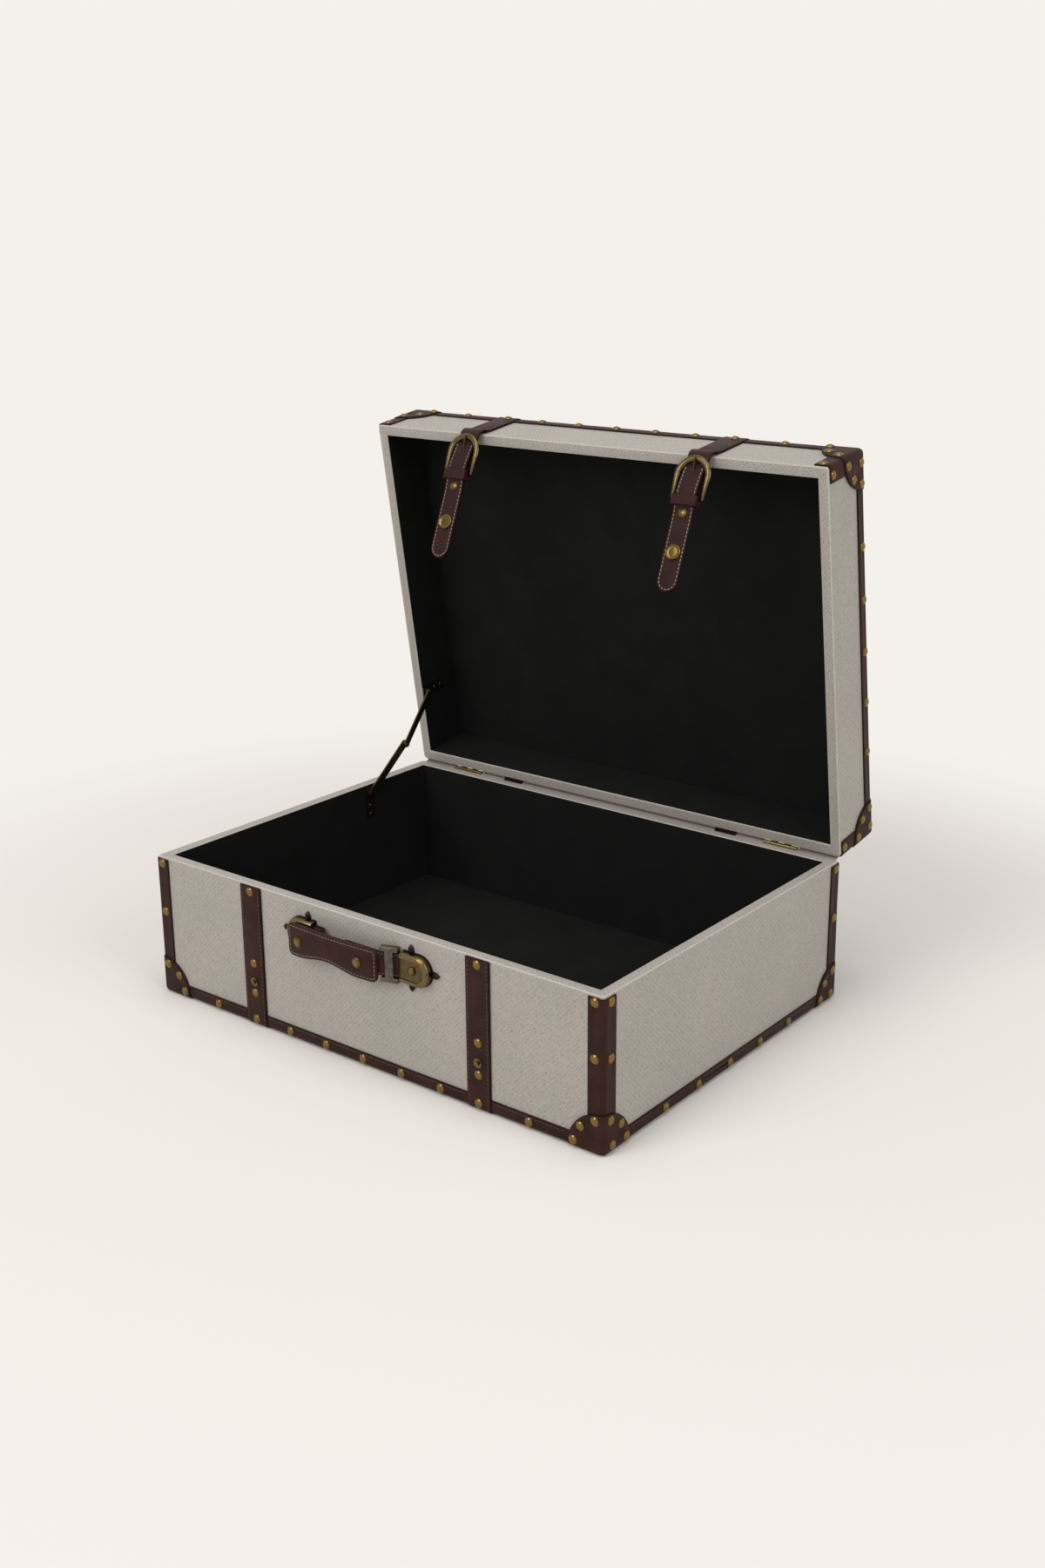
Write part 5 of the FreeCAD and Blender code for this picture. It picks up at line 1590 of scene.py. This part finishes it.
@dataclass
class BackJoint:
    """Leather and cloth that cross the gap behind the hinge line.

    Each span of cloth gives its left end, its right end and its reach on to each half, in millimetres.
    """

    base: Shell
    lid: Shell
    cloth_spans: tuple[tuple[float, float, float], ...] = (
        (-276.0, -231.0, 2.0), (-190.0, -157.2, 9.0), (-129.8, 129.8, 9.0), (157.2, 190.0, 9.0),
        (231.0, 276.0, 2.0))
    cloth_t: float = 0.8 * MM
    strap_t: float = 1.6 * MM
    strap_half: float = 13.2 * MM
    strap_reach: float = 2.6 * MM
    rounding: float = 0.25 * MM
    rim_edge: float = 0.6 * MM
    sag: float = 4.2 * MM

    def bridge(self, name: str, x: float, half: float, thickness: float, reach: float, out: float,
               finish: Finish, slot: str) -> None:
        """Lay a strip up the base's back and on to the lid's.

        Args:
            name: The piece's name.
            x: Middle of the strip along the box.
            half: Half its width.
            thickness: Its thickness.
            reach: How far it reaches on to each half.
            out: How far its middle lies off the back.
            finish: What it wears all over.
            slot: Passed on to settle, which does not use it.
        """
        y = self.base.high.y + out
        low = [Vector((x, y, self.base.rim_z - drop)) for drop in (reach, self.rim_edge)]
        high = [LID_SWING @ Vector((x, y, self.lid.rim_z + rise)) for rise in (self.rim_edge, reach)]
        middle = (low[1] + high[0]) / 2 + Vector((0, self.sag, 0))
        course = Course([*low, middle, *high], -LEFTWARDS, 4)
        piece = strip(name, course, course.band(half), thickness, self.rounding, finish, finish)
        bend(piece, ("base", "lid"), (low[1], high[0]), slot)

    def build(self) -> None:
        """Bridge the gap with the covering's cloth, darkened as painted shade, and with both straps."""
        for number, (left, right, reach) in enumerate(self.cloth_spans):
            self.bridge("back_gap_cloth_" + str(number), (left + right) / 2 * MM, (right - left) / 2 * MM,
                        self.cloth_t, reach * MM, self.cloth_t / 2, Finish.GAP_CLOTH, "covering")
        # The straps wear the darkest, cut-edge leather across the gap: painted shade, as the gap lies in
        # shadow.
        for side in Side:
            self.bridge("back_gap_strap_" + side.name.lower(), side.value * STRAP_X, self.strap_half,
                        self.strap_t, self.strap_reach, self.base.strap_t / 2, Finish.LEATHER_EDGE,
                        "leather")


class Fittings:
    """Hinges, lid stay and snap studs."""

    def dress(self) -> None:
        """Give the fittings their finishes."""
        hinges = ("hinge_base_leaves", "hinge_lid_leaves", "hinge_pins")
        stay = ("stay_base_bracket", "stay_lid_bracket", "stay_lower_arm", "stay_upper_arm")
        dress_nodes(Finish.ANTIQUE_BRASS, *hinges, "snap_studs")
        dress_nodes(Finish.DARK_BRASS, *stay)


@dataclass
class Studio:
    """Floor, light, background and camera."""

    cream: Colour = (0.905, 0.88, 0.831)
    floor_colour: Colour = (0.83, 0.807, 0.765)
    floor_size: float = 8.0
    fade_start: float = 0.55
    fade_end: float = 1.1
    ambient: float = 0.5
    ambient_colour: Colour = (1.0, 0.985, 0.96)
    lamps: tuple[tuple[str, tuple[float, float, float], float, float], ...] = (
        ("key", (-1.0, -3.6, 3.1), 2.9, 78.0),
        ("side", (3.8, -0.5, 2.5), 2.9, 46.0),
        ("top", (0.2, -0.5, 4.6), 3.6, 58.0))
    lamp_colour: Colour = (1.0, 0.985, 0.965)
    lamp_target: tuple[float, float, float] = (0, 0, 0.15)
    image_width: int = 1200
    image_height: int = 1800
    sensor: float = 36.0
    focal_pixels: float = 1987.6
    centre_pixels: Spot = (671.18, 867.91)
    camera_place: tuple[float, float, float] = (1.05028, -1.26441, 0.76730)
    azimuth: float = 36.648
    elevation: float = 17.252
    roll: float = 0.138

    def plain_rays(self, graph: Graph) -> bpy.types.NodeSocket:
        """Mask the rays that see the background as it is: camera, glossy and transmission.

        Args:
            graph: The graph that the mask is for.

        Returns:
            The mask.
        """
        path = graph.add("LightPath").outputs
        seen = graph.math("MAXIMUM", path["Is Camera Ray"], path["Is Glossy Ray"])
        return graph.math("MAXIMUM", seen, path["Is Transmission Ray"])

    def floor(self) -> None:
        """Lay a pale floor that runs into the background."""
        floor = new_piece("floor", bpy.ops.mesh.primitive_plane_add, size=self.floor_size)
        material, g, surface, spot = new_material("floor")
        g.tree.nodes.remove(surface)
        reach = g.add("VectorMath", {0: spot}, operation="LENGTH").outputs["Value"]
        far = g.math("MULTIPLY", g.ramp(reach, self.fade_start, self.fade_end), self.plain_rays(g))
        cloth = g.add("BsdfDiffuse", {"Color": (*self.floor_colour, 1)}).outputs[0]
        glow = g.add("Emission", {"Color": (*self.cream, 1), "Strength": 1.0}).outputs[0]
        mixed = g.add("MixShader", {0: far, 1: cloth, 2: glow}).outputs[0]
        g.feed(g.tree.nodes["Material Output"], {"Surface": mixed})
        floor.data.materials.append(material)

    def world(self) -> None:
        """Fill the surroundings with soft light and show them as plain cream."""
        world = bpy.data.worlds.new("studio")
        world.use_nodes = True
        bpy.context.scene.world = world
        g = Graph(world.node_tree)
        light = g.tree.nodes["Background"]
        g.feed(light, {"Color": (*self.ambient_colour, 1), "Strength": self.ambient})
        shown = g.add("Background", {"Color": (*self.cream, 1), "Strength": 1.0}).outputs[0]
        mixed = g.add("MixShader", {0: self.plain_rays(g), 1: light.outputs[0], 2: shown}).outputs[0]
        g.feed(g.tree.nodes["World Output"], {"Surface": mixed})

    def lamp(self, name: str, place: Vector, size: float, watts: float) -> None:
        """Hang one large soft lamp that faces the box.

        Args:
            name: The lamp's name.
            place: Where it hangs.
            size: Its diameter.
            watts: Its power.
        """
        data = bpy.data.lights.new(name, "AREA")
        data.shape = "DISK"
        data.size = size
        data.energy = watts
        data.color = self.lamp_colour
        lamp = linked(name, data)
        lamp.location = place
        lamp.rotation_mode = "QUATERNION"
        lamp.rotation_quaternion = (Vector(self.lamp_target) - place).to_track_quat("-Z", "Y")

    def camera(self) -> None:
        """Set the camera at the photograph's place and framing."""
        data = bpy.data.cameras.new("camera")
        data.sensor_width = self.sensor
        data.lens = self.focal_pixels * self.sensor / self.image_height
        data.shift_x = -(self.centre_pixels[0] - self.image_width / 2) / self.image_height
        data.shift_y = -(self.image_height / 2 - self.centre_pixels[1]) / self.image_height
        turn = Matrix.Rotation(math.radians(self.azimuth), 4, "Z")
        turn @= Matrix.Rotation(math.radians(90 - self.elevation), 4, "X")
        turn @= Matrix.Rotation(math.radians(self.roll), 4, "Z")
        camera = linked("camera", data)
        camera.matrix_world = Matrix.Translation(Vector(self.camera_place)) @ turn
        bpy.context.scene.camera = camera

    def build(self) -> None:
        """Set up the whole studio."""
        self.floor()
        self.world()
        for name, place, size, watts in self.lamps:
            self.lamp(name, Vector(place), size, watts)
        self.camera()
        bpy.context.scene.view_settings.view_transform = "Standard"


def main() -> None:
    """Build and dress the trunk, then the studio."""
    logging.basicConfig(level=logging.INFO, format="%(name)s %(message)s")
    base, lid = (Shell(half) for half in Half)
    for shell in (base, lid):
        shell.dress()
        shell.build()
    for side in Side:
        FrontStrap(side, lid).build()
    handle = Handle(base.low.y)
    handle.dress()
    handle.build()
    BackJoint(base, lid).build()
    Fittings().dress()
    Studio().build()


if __name__ == "__main__":
    main()
